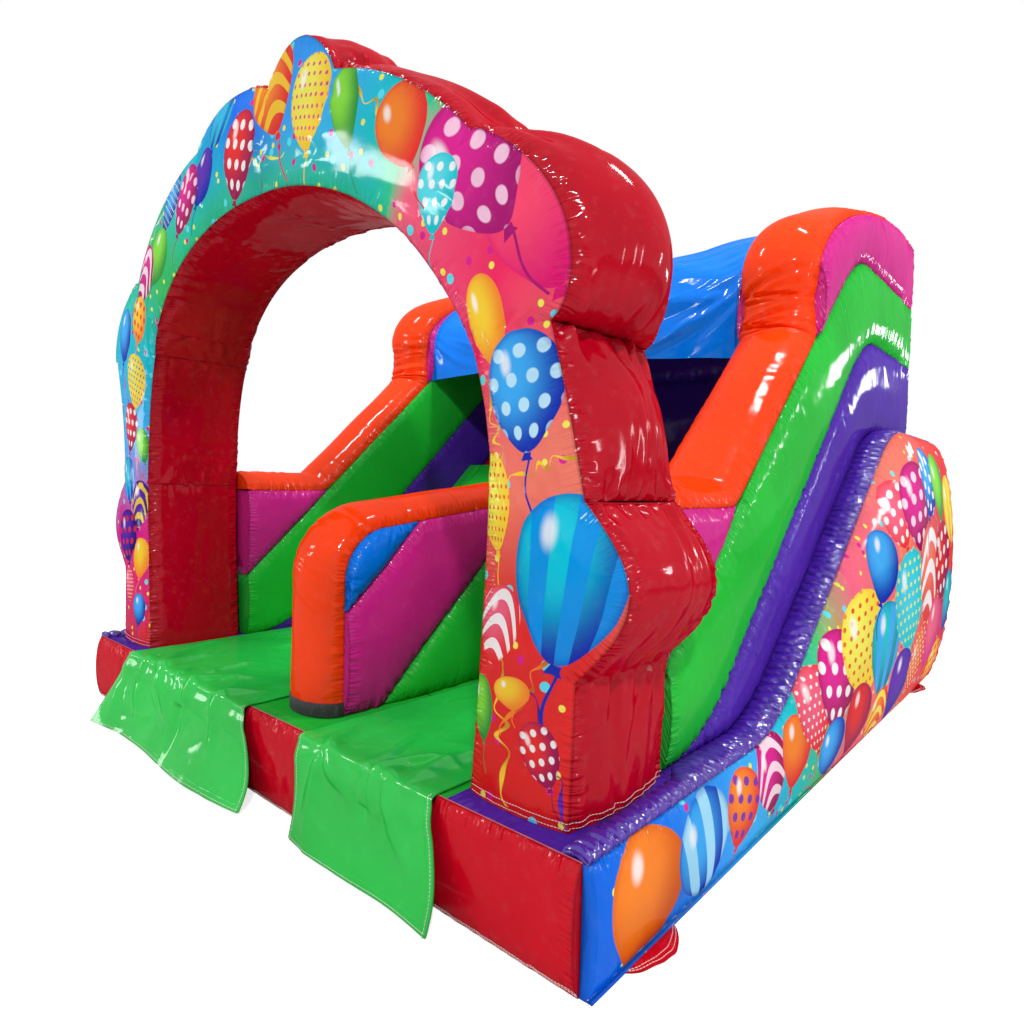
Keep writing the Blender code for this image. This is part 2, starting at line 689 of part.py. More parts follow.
def build_apron(word, left, right, hem_left, hem_right):
    """A sheet that lies on the entry and falls over the front beam to the ground."""
    top = BEAM_HEIGHT + SEAM_GAP
    mat_front = APRON_HINGE_Y + APRON_SETBACK
    box(f"{word}_entry_mat", (left, from_front(mat_front), top),
        (right, from_front(APRON_LIE), top + APRON_THICKNESS), "apron_green", APRON_GREEN)
    level = top + APRON_THICKNESS / 2
    hinge = Vector(((left + right) / 2, from_front(APRON_HINGE_Y - CLEAR), level))
    rings = []
    for share in spread(0.0, 1.0, APRON_COLUMNS):
        front, back = [], []
        for down in spread(0.0, 1.0, APRON_ROWS):
            turn = min(down / APRON_BEND_SHARE, 1.0) * math.pi / 2
            fall = max(down - APRON_BEND_SHARE, 0.0) / (1 - APRON_BEND_SHARE)
            y = APRON_HINGE_Y - CLEAR - APRON_ROUND * math.sin(turn) - APRON_REACH * fall
            z = level - APRON_ROUND * (1 - math.cos(turn)) - (level - APRON_ROUND - APRON_HEM_HEIGHT) * fall
            x = (left + (hem_left - left) * fall) * (1 - share) + (right + (hem_right - right) * fall) * share
            middle = Vector((x, from_front(y + apron_wave(share, down)), z))
            outward = Vector((0, -math.sin(turn), math.cos(turn))) * APRON_THICKNESS / 2
            front.append(middle + outward)
            back.append(middle - outward)
        rings.append(front + back[::-1])
    loft(f"{word}_apron_flap", rings, "apron_green", APRON_GREEN, hinge)


def build_aprons():
    reach = DIVIDER_THICKNESS / 2 + TUBE_CROWN + APRON_SIDE_GAP
    edge = ARCH_INNER - ARCH_CROWN - APRON_SIDE_GAP
    build_apron("left", -edge, DIVIDER_X - reach, -edge - APRON_SPREAD / 2, DIVIDER_X - reach + APRON_LEFT_SPREAD)
    build_apron("right", DIVIDER_X + reach, edge, DIVIDER_X + reach + APRON_SPREAD, edge + APRON_SPREAD)


def build_divider_band():
    """A black wear strip round the foot of the divider's nose."""
    rings = []
    half = DIVIDER_THICKNESS / 2
    for low in (0.0, DIVIDER_BAND_HEIGHT):
        outer, inner = [], []
        for step in range(DIVIDER_BAND_CUTS + 1):
            angle = math.pi * step / DIVIDER_BAND_CUTS
            x = DIVIDER_X + math.cos(angle) * (half + CLEAR * 2)
            y = DIVIDER_FRONT - math.sin(angle) * (DIVIDER_CAPPING + CLEAR * 4)
            inner.append(Vector((x, from_front(y), BEAM_HEIGHT + CLEAR * 2 + low)))
            x = DIVIDER_X + math.cos(angle) * (half + CLEAR * 2 + DIVIDER_BAND_THICKNESS)
            y = DIVIDER_FRONT - math.sin(angle) * (DIVIDER_CAPPING + CLEAR * 4 + DIVIDER_BAND_THICKNESS)
            outer.append(Vector((x, from_front(y), BEAM_HEIGHT + CLEAR * 2 + low)))
        rings.append(outer + inner[::-1])
    loft("divider_wear_band", rings, "black", BLACK)


def build_tab(side, end, front):
    """A folded fabric anchor tab sewn along the base's bottom edge, with a rounded lobe."""
    rings = []
    reach = []
    for share in spread(0.0, 1.0, TAB_CUTS):
        lobe = ball((share - TAB_LOBE_SHARE) / (1 - TAB_LOBE_SHARE * 2)) ** BALL_FULLNESS
        reach.append(TAB_STRIP + (TAB_REACH - TAB_STRIP) * lobe)
    angle = math.pi / TUBE_CUTS
    lean = 2 * SIDE_CROWN_RATIO * math.sin(angle) / (1 - math.cos(angle)) if front > BEAM_DEPTH else 0.0
    for share, out in zip(spread(0.0, 1.0, TAB_CUTS), reach):
        y = from_front(front + TAB_LENGTH * share)
        inner = side * (HALF_WIDTH + CLEAR + TAB_THICKNESS * lean)
        outer = inner + side * out
        rings.append([Vector((inner, y, 0)), Vector((outer, y, 0)),
                      Vector((outer, y, TAB_THICKNESS)), Vector((inner, y, TAB_THICKNESS))])
    word = "left" if side < 0 else "right"
    loft(f"anchor_tab_{end}_{word}", rings, "red", RED)


def ring_tube(name, outer, inner, start, end, slot, colour):
    """A straight round tube along Y with an open bore."""
    bm = bmesh.new()
    rows = []
    for y in (start, end):
        for radius in (outer, inner):
            rows.append([bm.verts.new((radius * math.cos(math.tau * i / SLEEVE_SIDES), y,
                                       radius * math.sin(math.tau * i / SLEEVE_SIDES)))
                         for i in range(SLEEVE_SIDES)])
    for low, high in ((0, 2), (2, 3), (3, 1), (1, 0)):
        for i in range(SLEEVE_SIDES):
            j = (i + 1) % SLEEVE_SIDES
            bm.faces.new((rows[low][i], rows[low][j], rows[high][j], rows[high][i]))
    bmesh.ops.recalc_face_normals(bm, faces=bm.faces)
    mesh = bpy.data.meshes.new(name)
    bm.to_mesh(mesh)
    bm.free()
    crest = from_front(BASE_DEPTH) + REAR_CROWN
    return add_object(name, mesh, slot, colour, (SLEEVE_X, crest, PLATFORM_HEIGHT / 2))


def build_rear_fittings():
    """The air sleeve with its strap, and the deflation zip with its slider and cover flap."""
    ring_tube("air_sleeve", SLEEVE_RADIUS, SLEEVE_RADIUS - SLEEVE_WALL, CLEAR, SLEEVE_LENGTH, "red", RED)
    middle = SLEEVE_LENGTH * SLEEVE_STRAP_SHARE
    ring_tube("air_sleeve_strap", SLEEVE_RADIUS + CLEAR + SLEEVE_STRAP_THICKNESS, SLEEVE_RADIUS + CLEAR,
              middle, middle + SLEEVE_STRAP_WIDTH, "black", BLACK)
    crest = from_front(BASE_DEPTH) + REAR_CROWN + CLEAR
    height = PLATFORM_HEIGHT / 2
    half = ZIP_TAPE_HEIGHT / 2
    tape_back = crest + ZIP_TAPE_THICKNESS
    box("zip_tape", (ZIP_X - ZIP_LENGTH / 2, crest, height - half),
        (ZIP_X + ZIP_LENGTH / 2, tape_back, height + half), "black", BLACK)
    slider_x = ZIP_X - ZIP_LENGTH / 2 + ZIP_SLIDER
    slider_back = tape_back + CLEAR + ZIP_SLIDER_DEPTH
    box("zip_slider", (slider_x - ZIP_SLIDER / 2, tape_back + CLEAR, height - ZIP_SLIDER / 4),
        (slider_x + ZIP_SLIDER / 2, slider_back, height + ZIP_SLIDER / 4), "steel", SILVER, bevel=ZIP_SLIDER / 12)
    flap_top = height + half + ZIP_FLAP_OVERLAP
    flap_back = slider_back + CLEAR * 4
    turn = math.pi / (TUBE_CUTS + 1)
    lean = REAR_CROWN * (1 - math.cos(turn)) / (height * math.sin(turn))
    flap_foot = crest - lean * (flap_top - height)
    rings = []
    for x in (ZIP_X - ZIP_LENGTH / 2 - ZIP_FLAP_OVERLAP, ZIP_X + ZIP_LENGTH / 2 + ZIP_FLAP_OVERLAP):
        outline = ((flap_foot, flap_top), (flap_back, height + half / 2),
                   (flap_back, flap_top - ZIP_FLAP_HEIGHT))
        outer = [Vector((x, y + ZIP_FLAP_THICKNESS, z)) for y, z in outline]
        inner = [Vector((x, y, z)) for y, z in outline]
        rings.append(outer + inner[::-1])
    hinge = Vector((ZIP_X, flap_foot + ZIP_FLAP_THICKNESS / 2, flap_top))
    loft("zip_cover_flap", rings, "purple", PURPLE, hinge)


def build():
    material("steel", SILVER, metallic=1.0)
    shapes = ((-1, "left", LEFT_NECK_SHARE, LEFT_NECK_PINCH, LEFT_SHOULDER_BULGE),
              (1, "right", NECK_SHARE, NECK_PINCH, SHOULDER_BULGE))
    for side, word, neck, pinch, bulge in shapes:
        build_side(side, word)
        build_wall(side, word)
        build_arch_side(side, word, neck, pinch, bulge)
        build_tab(side, "front", TAB_FRONT)
        build_tab(side, "rear", BASE_DEPTH - TAB_LENGTH - TAB_FRONT)
    build_arch_crown()
    build_base()
    build_steps()
    build_rear_wall()
    build_divider()
    build_divider_band()
    build_canopy()
    build_aprons()
    build_rear_fittings()


PART_NAME = "inflatable_party_slide"

for old in list(bpy.data.objects):
    bpy.data.objects.remove(old, do_unlink=True)
for old in list(bpy.data.collections):
    bpy.data.collections.remove(old)
bpy.context.scene.collection.children.link(bpy.data.collections.new(PART_NAME))
build()
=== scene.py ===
"""Looks of an inflatable party slide: puckered air chambers, prints, sheets, stitching and light.

Metres, +Z up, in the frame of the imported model. Each skin is laid over the chamber that it stands for.
"""

import math

import bmesh
import bpy
import numpy as np
from mathutils import Matrix, Vector


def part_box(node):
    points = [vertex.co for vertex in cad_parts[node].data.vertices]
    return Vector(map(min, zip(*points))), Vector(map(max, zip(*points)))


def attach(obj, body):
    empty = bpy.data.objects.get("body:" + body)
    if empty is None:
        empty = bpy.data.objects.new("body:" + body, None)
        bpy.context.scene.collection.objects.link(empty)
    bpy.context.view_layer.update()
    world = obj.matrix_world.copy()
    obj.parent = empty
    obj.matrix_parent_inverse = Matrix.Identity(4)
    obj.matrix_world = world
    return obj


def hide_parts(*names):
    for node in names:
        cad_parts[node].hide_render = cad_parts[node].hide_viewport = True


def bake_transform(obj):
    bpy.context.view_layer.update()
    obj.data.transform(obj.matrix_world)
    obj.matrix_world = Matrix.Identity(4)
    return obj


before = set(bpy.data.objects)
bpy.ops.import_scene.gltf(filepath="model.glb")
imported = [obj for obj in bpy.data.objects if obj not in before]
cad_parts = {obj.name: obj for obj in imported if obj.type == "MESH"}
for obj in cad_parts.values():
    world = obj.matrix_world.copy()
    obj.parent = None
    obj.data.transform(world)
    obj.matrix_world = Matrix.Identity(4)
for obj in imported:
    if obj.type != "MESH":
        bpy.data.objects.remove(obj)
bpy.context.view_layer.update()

bl_info = {
    "name": "Inflatable Party Slide",
    "version": (1, 0, 0),
    "blender": (4, 5, 0),
    "location": "View3D > Sidebar > Party Slide",
    "description": "Skins, prints, sheets and stitching of an inflatable party slide",
    "category": "Object",
}

MAIN_BODY = "slide_frame"

# Sizes that the skins share with the solids
BASE_DEPTH = 3.5
BEAM_HEIGHT = 0.30
BEAM_DEPTH = 0.54
BEAM_CROWN = 0.03
SEAM_GAP = 0.0006
WALL_INNER = 1.05
WALL_THICKNESS = 0.32
TUBE_CROWN = 0.038
SIDE_FOOT = 1.10
SIDE_CREST = 2.52
SIDE_CROWN_RATIO = 0.105
PURPLE_FOOT = 0.78
PURPLE_CREST = 2.45
GREEN_FOOT = 0.21
GREEN_CREST = 2.26
LOW_WALL_HEIGHT = 1.055
CORNER_EASE = 0.36
TOWER_FRONT = 1.76
TOWER_HEIGHT = 2.59
TOWER_SHOULDER = 2.04
GREEN_HEIGHT = 2.23
PURPLE_HEIGHT = 1.88
SIDE_HEIGHT = 1.43
TOWER_CREST = 3.20
TOWER_ROUND = 1.7
CAPPING_CROWN = 0.10
TOWER_TOP_CROWN = 0.05
LEDGE_RISE = 0.012
LEDGE_INSET = 0.015
SLOPE_FOOT = 1.15
PLATFORM_FRONT = 2.15
PLATFORM_HEIGHT = 1.25
STEP_COUNT = 4
STEP_RADIUS = 0.085
REAR_CROWN = 0.07
REAR_WALL_DEPTH = 0.28
REAR_WALL_TOP = 2.53
REAR_CAPPING = 0.05
DIVIDER_X = 0.22
DIVIDER_THICKNESS = 0.27
DIVIDER_FRONT = 0.17
DIVIDER_HEIGHT = 0.93
DIVIDER_RISE = 0.12
DIVIDER_CORNER = 0.16
DIVIDER_CAPPING = 0.09
DIVIDER_TAIL = 0.02
DIVIDER_BLUE_LOW = 0.66
DIVIDER_PINK_FOOT = 0.33
DIVIDER_BAND_SLOPE = 0.94
ARCH_SETBACK = 0.076
ARCH_THICKNESS = 0.43
ARCH_BOW = 0.10
ARCH_BOW_FROM = 1.20
ARCH_INNER = 1.07
ARCH_LEG = 0.32
ARCH_FLARE = 0.04
LEG_SPREAD = 0.02
ARCH_SPRING = 1.10
ARCH_INNER_TOP = 2.08
ARCH_OUTER_TOP = 2.41
ARCH_SQUARENESS = 2.2
ARCH_FRONT_CROWN = 0.018
ARCH_CROWN = 0.03
LEG_TOP = 1.08
LEG_BALL_LOW = 0.66
LEG_BALL_REACH = 0.13
SHOULDER_ANGLE = 41.0
BALL_SWELL = 0.10
BALL_FULLNESS = 0.7
BALL_DROP = 0.76
CROWN_SEAM_ANGLES = (SHOULDER_ANGLE, 70.0, 85.0, 104.0, 180.0 - SHOULDER_ANGLE)
CROWN_SWELL = 0.03
CROWN_RISES = (0.0, 0.12, 0.06, 0.0)
CANOPY_THICKNESS = 0.012
CANOPY_HEM_BOW = 0.12
CANOPY_DROP = 0.35
CANOPY_INSET = 0.03
CANOPY_RISE = 0.05
CANOPY_RISEN_SHARE = 0.35
APRON_THICKNESS = 0.004
APRON_SIDE_GAP = 0.01
APRON_LIE = 1.05
APRON_HEM_HEIGHT = 0.008
APRON_LOWEST = 0.003
APRON_ROUND = 0.07
APRON_BEND_SHARE = 0.32
TAB_LENGTH = 0.40
TAB_REACH = 0.075
TAB_STRIP = 0.012
TAB_LOBE_SHARE = 0.2
SLEEVE_RADIUS = 0.12
SLEEVE_WALL = 0.006
SLEEVE_LENGTH = 0.30
SLEEVE_X = 0.70
CLEAR = 0.0003
ABOVE_GROUND = 0.0004

HALF_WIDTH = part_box("front_base_beam")[1][0]
WALL_OUTER = WALL_INNER + WALL_THICKNESS
LANE_HALF = WALL_INNER - SEAM_GAP
WALL_FRONT = BEAM_DEPTH + SEAM_GAP


def length_property(name, value, least, description):
    return bpy.props.FloatProperty(
        name=name, description=description, default=value, min=least, unit="LENGTH")


class SlideSizes(bpy.types.PropertyGroup):
    """Sizes of the fabric's puckers, pleats and stitches."""

    grain: length_property("Grid", 0.009, 0.003, "Spacing of a skin's points")
    pucker_pitch: length_property("Pucker pitch", 0.045, 0.01, "Mean distance between puckers along a seam")
    pucker_depth: length_property("Pucker depth", 0.0050, 0.0, "Depth of a pucker beside its seam")
    pucker_reach: length_property("Pucker reach", 0.042, 0.01, "How far a pucker runs out of its seam")
    pleat_pitch: length_property("Pleat pitch", 0.041, 0.01, "Distance between the ledge's pleats")
    pleat_depth: length_property("Pleat depth", 0.015, 0.0, "Depth of the ledge's pleats")
    stitch_pitch: length_property("Stitch pitch", 0.009, 0.002, "Distance between stitches")
    stitch_length: length_property("Stitch length", 0.0065, 0.001, "Length of one stitch")
    stitch_radius: length_property("Stitch radius", 0.0010, 0.0002, "Radius of the thread")
    tooth_pitch: length_property("Tooth pitch", 0.005, 0.002, "Distance between the zip's teeth")


def colour_property(name, value):
    return bpy.props.FloatVectorProperty(
        name=name, description=f"Base colour of the {name.lower()} fabric", default=value, size=3,
        min=0.0, max=1.0, subtype="COLOR")


class SlideColours(bpy.types.PropertyGroup):
    """Base colours of the coated fabrics."""

    crimson: colour_property("Crimson", (0.50, 0.001, 0.014))
    red: colour_property("Red", (0.66, 0.002, 0.016))
    orange: colour_property("Orange", (1.0, 0.055, 0.004))
    green: colour_property("Green", (0.016, 0.50, 0.040))
    apron: colour_property("Apron green", (0.022, 0.62, 0.080))
    purple: colour_property("Purple", (0.080, 0.020, 0.40))
    pink: colour_property("Pink", (0.66, 0.020, 0.27))
    blue: colour_property("Blue", (0.0, 0.20, 0.90))
    black: colour_property("Black", (0.012, 0.012, 0.016))
    thread: colour_property("Thread", (0.85, 0.80, 0.78))


# Wiring of node trees

class Wiring:
    """Short calls that add and link the nodes of one tree."""

    def __init__(self, tree):
        self.tree = tree

    def feed(self, socket, value):
        if isinstance(value, bpy.types.NodeSocket):
            self.tree.links.new(value, socket)
        elif socket.type == "RGBA" and len(value) == 3:
            socket.default_value = (*value, 1.0)
        else:
            socket.default_value = value

    def node(self, kind, settings=None, **sockets):
        made = self.tree.nodes.new(kind)
        for key, value in (settings or {}).items():
            setattr(made, key, value)
        for key, value in sockets.items():
            self.feed(made.inputs[key.replace("_", " ")], value)
        return made

    def plus(self, *values):
        return self.math("ADD", *values)

    def minus(self, *values):
        return self.math("SUBTRACT", *values)

    def times(self, *values):
        return self.math("MULTIPLY", *values)

    def reach(self, x, y):
        """The length of a pair of distances."""
        return self.math("SQRT", self.plus(self.times(x, x), self.times(y, y)))

    def math(self, operation, *values):
        made = self.tree.nodes.new("ShaderNodeMath")
        made.operation = operation
        for socket, value in zip(made.inputs, values):
            self.feed(socket, value)
        return made.outputs[0]

    def blend(self, share, low, high, mode="MIX"):
        made = self.tree.nodes.new("ShaderNodeMix")
        made.data_type = "RGBA"
        made.blend_type = mode
        for index, value in ((0, share), (6, low), (7, high)):
            self.feed(made.inputs[index], value)
        return made.outputs[2]

    def ease(self, value, low, high, start=0.0, end=1.0):
        made = self.node("ShaderNodeMapRange", {"interpolation_type": "SMOOTHSTEP"})
        for index, item in enumerate((value, low, high, start, end)):
            self.feed(made.inputs[index], item)
        return made.outputs[0]

    def noise(self, vector, scale, detail):
        return self.node("ShaderNodeTexNoise", Vector=vector, Scale=scale, Detail=detail).outputs["Fac"]

    def split(self, vector):
        return self.node("ShaderNodeSeparateXYZ", Vector=vector).outputs

    def join(self, *values):
        made = self.node("ShaderNodeCombineXYZ")
        for socket, value in zip(made.inputs, values):
            self.feed(socket, value)
        return made.outputs[0]

    def ramp(self, value, stops):
        made = self.node("ShaderNodeValToRGB", Fac=value)
        band = made.color_ramp
        while len(band.elements) < len(stops):
            band.elements.new(0.5)
        for element, (place, colour) in zip(band.elements, stops):
            element.position = place
            element.color = (*colour, 1.0)
        return made.outputs["Color"]


# Finishes

def fresh_material(name):
    made = bpy.data.materials.new(name)
    made.use_nodes = True
    made.node_tree.nodes.clear()
    return made, Wiring(made.node_tree)


def object_place(w):
    return w.node("ShaderNodeTexCoord").outputs["Object"]


def close_material(w, tone, rough, height, strength, distance, metallic=0.0):
    """The shader at a material's end and the bump that a height gives it."""
    bump = w.node("ShaderNodeBump", Strength=strength, Distance=distance, Height=height).outputs[0]
    shader = w.node("ShaderNodeBsdfPrincipled", Base_Color=tone, Roughness=rough, Normal=bump,
                    Metallic=metallic)
    w.node("ShaderNodeOutputMaterial", Surface=shader.outputs[0])
    return shader, bump


def weave(w, place, along, across):
    """The heights of threads that cross at right angles, in waves of so many radians in a metre."""
    x, y, z = w.split(place)
    warp = w.math("SINE", w.times(w.plus(x, y), along))
    weft = w.math("SINE", w.times(w.minus(z, y), across))
    return w.times(warp, weft)


# Threads of the webbing, warp and weft, and of the coated fabric: radians of their waves in a metre
WEBBING_WAVES = (2100.0, 1400.0)
SCRIM_WAVES = (2400.0, 2400.0)
# Coated fabric: heights before the bump's scale, reach of a seam's crimps, tints where the film is thin or
# pressed, painted shade and dulled gloss along the seams, and the index of its clear coat
SCRIM_HEIGHT = 0.001
RIPPLE_HEIGHT = 0.7
HEM_HEIGHT = 0.25
BUMP_STRENGTH = 0.36
BUMP_DISTANCE = 0.014
CRIMP_REACH = 0.055
CRIMP_PITCH = 48.0
BROAD_SHADE = 0.16
FINE_TINT = 0.02
SEAM_SHADE = 0.35
SEAM_DULLING = 0.18
COAT_INDEX = 2.0
BLACK = (0.0, 0.0, 0.0)
PURE_WHITE = (1.0, 1.0, 1.0)


def finish_vinyl(w, colour, gloss, crimp=1.5, coat=0.13, seam=True, hem=0.0):
    """Coated fabric: a faint scrim, film ripples, seam crimps, painted shade and dulled gloss along the
    seams, and uneven gloss.
    """
    place = object_place(w)
    broad = w.noise(place, 2.6, 3.0)
    fine = w.noise(place, 34.0, 3.0)
    tone = w.blend(w.ease(broad, 0.3, 0.7, 0.0, BROAD_SHADE), colour, BLACK, "MULTIPLY")
    tone = w.blend(w.ease(fine, 0.5, 0.9, 0.0, FINE_TINT), tone, PURE_WHITE)
    rough = w.plus(w.ease(broad, 0.25, 0.75, gloss * 0.75, gloss * 1.3), w.times(fine, 0.03))
    scrim = w.times(weave(w, place, *SCRIM_WAVES), SCRIM_HEIGHT)
    height = w.plus(scrim, w.times(w.noise(place, 8.0, 1.5), RIPPLE_HEIGHT))
    if seam:
        run, near, _ = w.split(w.node("ShaderNodeUVMap", {"uv_map": "seam"}).outputs[0])
        close = w.ease(near, 0.0, CRIMP_REACH, 1.0, 0.0)
        lines = w.noise(w.join(w.times(run, CRIMP_PITCH), w.times(near, 7.0), 0.0), 1.0, 1.0)
        crease = w.minus(1.0, w.times(w.math("ABSOLUTE", w.minus(lines, 0.5)), 5.0))
        valleys = w.times(w.math("MAXIMUM", crease, 0.0), -1.0)
        height = w.plus(height, w.times(w.times(valleys, close), crimp))
        if hem:
            height = w.plus(height, w.ease(near, hem - 0.001, hem + 0.001, HEM_HEIGHT, 0.0))
        # Painted shade: the colour darkens close to each seam, and the same mask dulls the gloss there
        seam_shade_and_dulling = w.ease(near, 0.0015, 0.007, 1.0, 0.0)
        tone = w.blend(w.times(seam_shade_and_dulling, SEAM_SHADE), tone, BLACK, "MULTIPLY")
        rough = w.plus(rough, w.times(seam_shade_and_dulling, SEAM_DULLING))
    shader, bump = close_material(w, tone, rough, height, BUMP_STRENGTH, BUMP_DISTANCE)
    shader.inputs["Specular IOR Level"].default_value = 0.0
    shader.inputs["Coat Weight"].default_value = coat
    shader.inputs["Coat Roughness"].default_value = gloss
    shader.inputs["Coat IOR"].default_value = COAT_INDEX
    w.feed(shader.inputs["Coat Normal"], bump)


def vinyl(name, gloss=0.09, crimp=1.5, coat=0.13, seam=True, colour=None, hem=0.0):
    """The material of one plain coated fabric, made once; its colour is a given one or the name's own."""
    key = f"vinyl_{name}"
    if key in bpy.data.materials:
        return bpy.data.materials[key]
    made, w = fresh_material(key)
    finish_vinyl(w, colour or set_colour(name), gloss, crimp, coat, seam, hem)
    return made


def set_colour(name):
    return tuple(getattr(bpy.context.scene.party_slide_colours, name))


def woven(name, colour):
    """Black woven webbing: crossing ribs and a dull, slightly dusty face."""
    if name in bpy.data.materials:
        return bpy.data.materials[name]
    made, w = fresh_material(name)
    place = object_place(w)
    ribs = weave(w, place, *WEBBING_WAVES)
    dust = w.noise(place, 60.0, 4.0)
    tone = w.blend(w.ease(dust, 0.45, 0.75, 0.0, 0.12), colour, (0.35, 0.33, 0.31))
    close_material(w, tone, w.ease(dust, 0.2, 0.8, 0.55, 0.8), ribs, 0.5, 0.0006)
    return made


def plated_metal():
    """Zip metal with fine brushing and rubbed spots."""
    name = "plated_metal"
    if name in bpy.data.materials:
        return bpy.data.materials[name]
    made, w = fresh_material(name)
    place = object_place(w)
    x, y, z = w.split(place)
    brushed = w.noise(w.join(w.times(x, 30.0), y, w.times(z, 900.0)), 3.0, 3.0)
    tone = w.blend(w.noise(place, 300.0, 3.0), (0.62, 0.61, 0.60), (0.80, 0.79, 0.77))
    close_material(w, tone, w.ease(brushed, 0.3, 0.7, 0.22, 0.40), brushed, 0.2, 0.0003, metallic=1.0)
    return made


PLACING = ("Centre across", "Centre up", "Half width", "Half height", "Turn")


def figure_tree(name, colours):
    """A node group with a colour below, a place on the plane and one figure's placing and colours."""
    tree = bpy.data.node_groups.new(name, "ShaderNodeTree")
    face = tree.interface
    face.new_socket("Below", in_out="INPUT", socket_type="NodeSocketColor")
    for title in ("Across", "Up", *PLACING):
        face.new_socket(title, in_out="INPUT", socket_type="NodeSocketFloat")
    for title in colours:
        face.new_socket(title, in_out="INPUT", socket_type="NodeSocketColor")
    face.new_socket("Print", in_out="OUTPUT", socket_type="NodeSocketColor")
    w = Wiring(tree)
    given = w.node("NodeGroupInput").outputs
    x = w.minus(given["Across"], given["Centre across"])
    y = w.minus(given["Up"], given["Centre up"])
    c = w.math("COSINE", given["Turn"])
    s = w.math("SINE", given["Turn"])
    u = w.math("DIVIDE", w.plus(w.times(x, c), w.times(y, s)), given["Half width"])
    v = w.math("DIVIDE", w.minus(w.times(y, c), w.times(x, s)), given["Half height"])
    return tree, w, given, u, v


def dot_pattern(w, u, v, count, radius, jitter):
    """Staggered round dots on a balloon."""
    row = w.times(v, count)
    odd = w.math("MODULO", w.plus(w.math("FLOOR", row), 100.0), 2.0)
    column = w.plus(w.times(u, count * 0.8), w.times(odd, 0.5))
    shift = w.times(w.math("SINE", w.times(w.math("FLOOR", column), 12.9)), jitter)
    up = w.minus(w.math("FRACT", w.plus(row, shift)), 0.5)
    across = w.minus(w.math("FRACT", column), 0.5)
    return w.ease(w.reach(across, up), radius, radius - 0.06)


def figure_group(kind):
    """A glossy printed balloon with its knot and string, over what lies below it."""
    name = f"printed_{kind}_balloon"
    if name in bpy.data.node_groups:
        return bpy.data.node_groups[name]
    tree, w, given, u, v = figure_tree(name, ("Main", "Deep", "Accent"))
    taper = w.plus(1.0, w.times(v, 0.17))
    taper = w.minus(taper, w.times(w.ease(v, -0.2, -1.05), 0.20))
    wide = w.math("DIVIDE", u, taper)
    out = w.reach(wide, v)
    aside, above = w.plus(u, 0.30), w.minus(v, 0.32)
    glow = w.math("SQRT", w.plus(w.math("POWER", aside, 2.0), w.math("POWER", above, 2.0)))
    face = w.blend(w.ease(glow, 0.25, 1.35), given["Main"], given["Deep"])
    pattern = None
    if kind == "dotted":
        pattern = dot_pattern(w, wide, v, 2.3, 0.30, 0.0)
    if kind == "speckled":
        pattern = dot_pattern(w, wide, v, 4.6, 0.24, 0.35)
    if kind == "striped":
        pattern = w.ease(w.math("SINE", w.times(wide, 9.0)), -0.05, 0.05)
    if kind == "ringed":
        bow = w.plus(v, w.times(u, u))
        pattern = w.ease(w.math("SINE", w.times(bow, 10.0)), 0.15, 0.25)
    if pattern:
        face = w.blend(w.times(pattern, 0.9), face, given["Accent"])
    shine = w.reach(w.times(w.plus(u, 0.42), 2.6), w.times(w.minus(v, 0.5), 1.9))
    face = w.blend(w.ease(shine, 0.15, 0.55, 0.75, 0.0), face, PURE_WHITE)
    face = w.blend(w.ease(out, 0.86, 1.0, 0.0, 0.45), face, given["Deep"])
    sway = w.times(w.math("SINE", w.times(v, 5.0)), 0.10)
    string = w.ease(w.math("ABSOLUTE", w.minus(u, sway)), 0.02, 0.035, 1.0, 0.0)
    string = w.times(string, w.ease(w.math("ABSOLUTE", w.plus(v, 1.5)), 0.5, 0.52, 1.0, 0.0))
    below = w.blend(string, given["Below"], given["Deep"])
    knot_half = w.times(w.minus(w.times(v, -1.0), 0.93), 0.9)
    knot = w.ease(w.minus(w.math("ABSOLUTE", u), knot_half), -0.01, 0.01, 1.0, 0.0)
    below = w.blend(w.times(knot, w.ease(v, -1.12, -1.11)), below, given["Deep"])
    w.node("NodeGroupOutput", Print=w.blend(w.ease(out, 0.985, 1.0, 1.0, 0.0), below, face))
    return tree


def streamer_group():
    """A wavy printed ribbon along its own line."""
    name = "printed_streamer"
    if name in bpy.data.node_groups:
        return bpy.data.node_groups[name]
    tree, w, given, u, v = figure_tree(name, ("Main",))
    sway = w.times(w.math("SINE", w.times(v, 5.0)), 1.6)
    bend = w.math("SINE", w.plus(w.times(v, 11.0), sway))
    width = w.plus(0.22, w.times(w.math("COSINE", w.times(v, 11.0)), 0.14))
    off = w.math("ABSOLUTE", w.minus(u, w.times(bend, 0.8)))
    mask = w.ease(w.minus(off, width), -0.05, 0.05, 1.0, 0.0)
    mask = w.times(mask, w.ease(w.math("ABSOLUTE", v), 0.98, 1.0, 1.0, 0.0))
    shade = w.blend(w.ease(bend, -0.6, 0.8, 0.0, 0.5), given["Main"], (0.2, 0.02, 0.0), "MULTIPLY")
    w.node("NodeGroupOutput", Print=w.blend(mask, given["Below"], shade))
    return tree


YELLOW = (0.95, 0.62, 0.03)
LEMON = (0.90, 0.85, 0.10)
TEAL = (0.0, 0.55, 0.62)
SKY = (0.04, 0.42, 0.95)
DEEP_BLUE = (0.0, 0.02, 0.42)
MAGENTA = (0.72, 0.01, 0.28)
WINE = (0.30, 0.0, 0.08)
TANGERINE = (0.95, 0.24, 0.02)
SCARLET = (0.80, 0.02, 0.02)
LIME = (0.25, 0.75, 0.05)
LEAF = (0.02, 0.30, 0.04)
VIOLET = (0.12, 0.02, 0.45)
ROSE = (0.90, 0.12, 0.22)
WHITE = (0.95, 0.95, 0.95)
CORAL = (0.90, 0.20, 0.14)

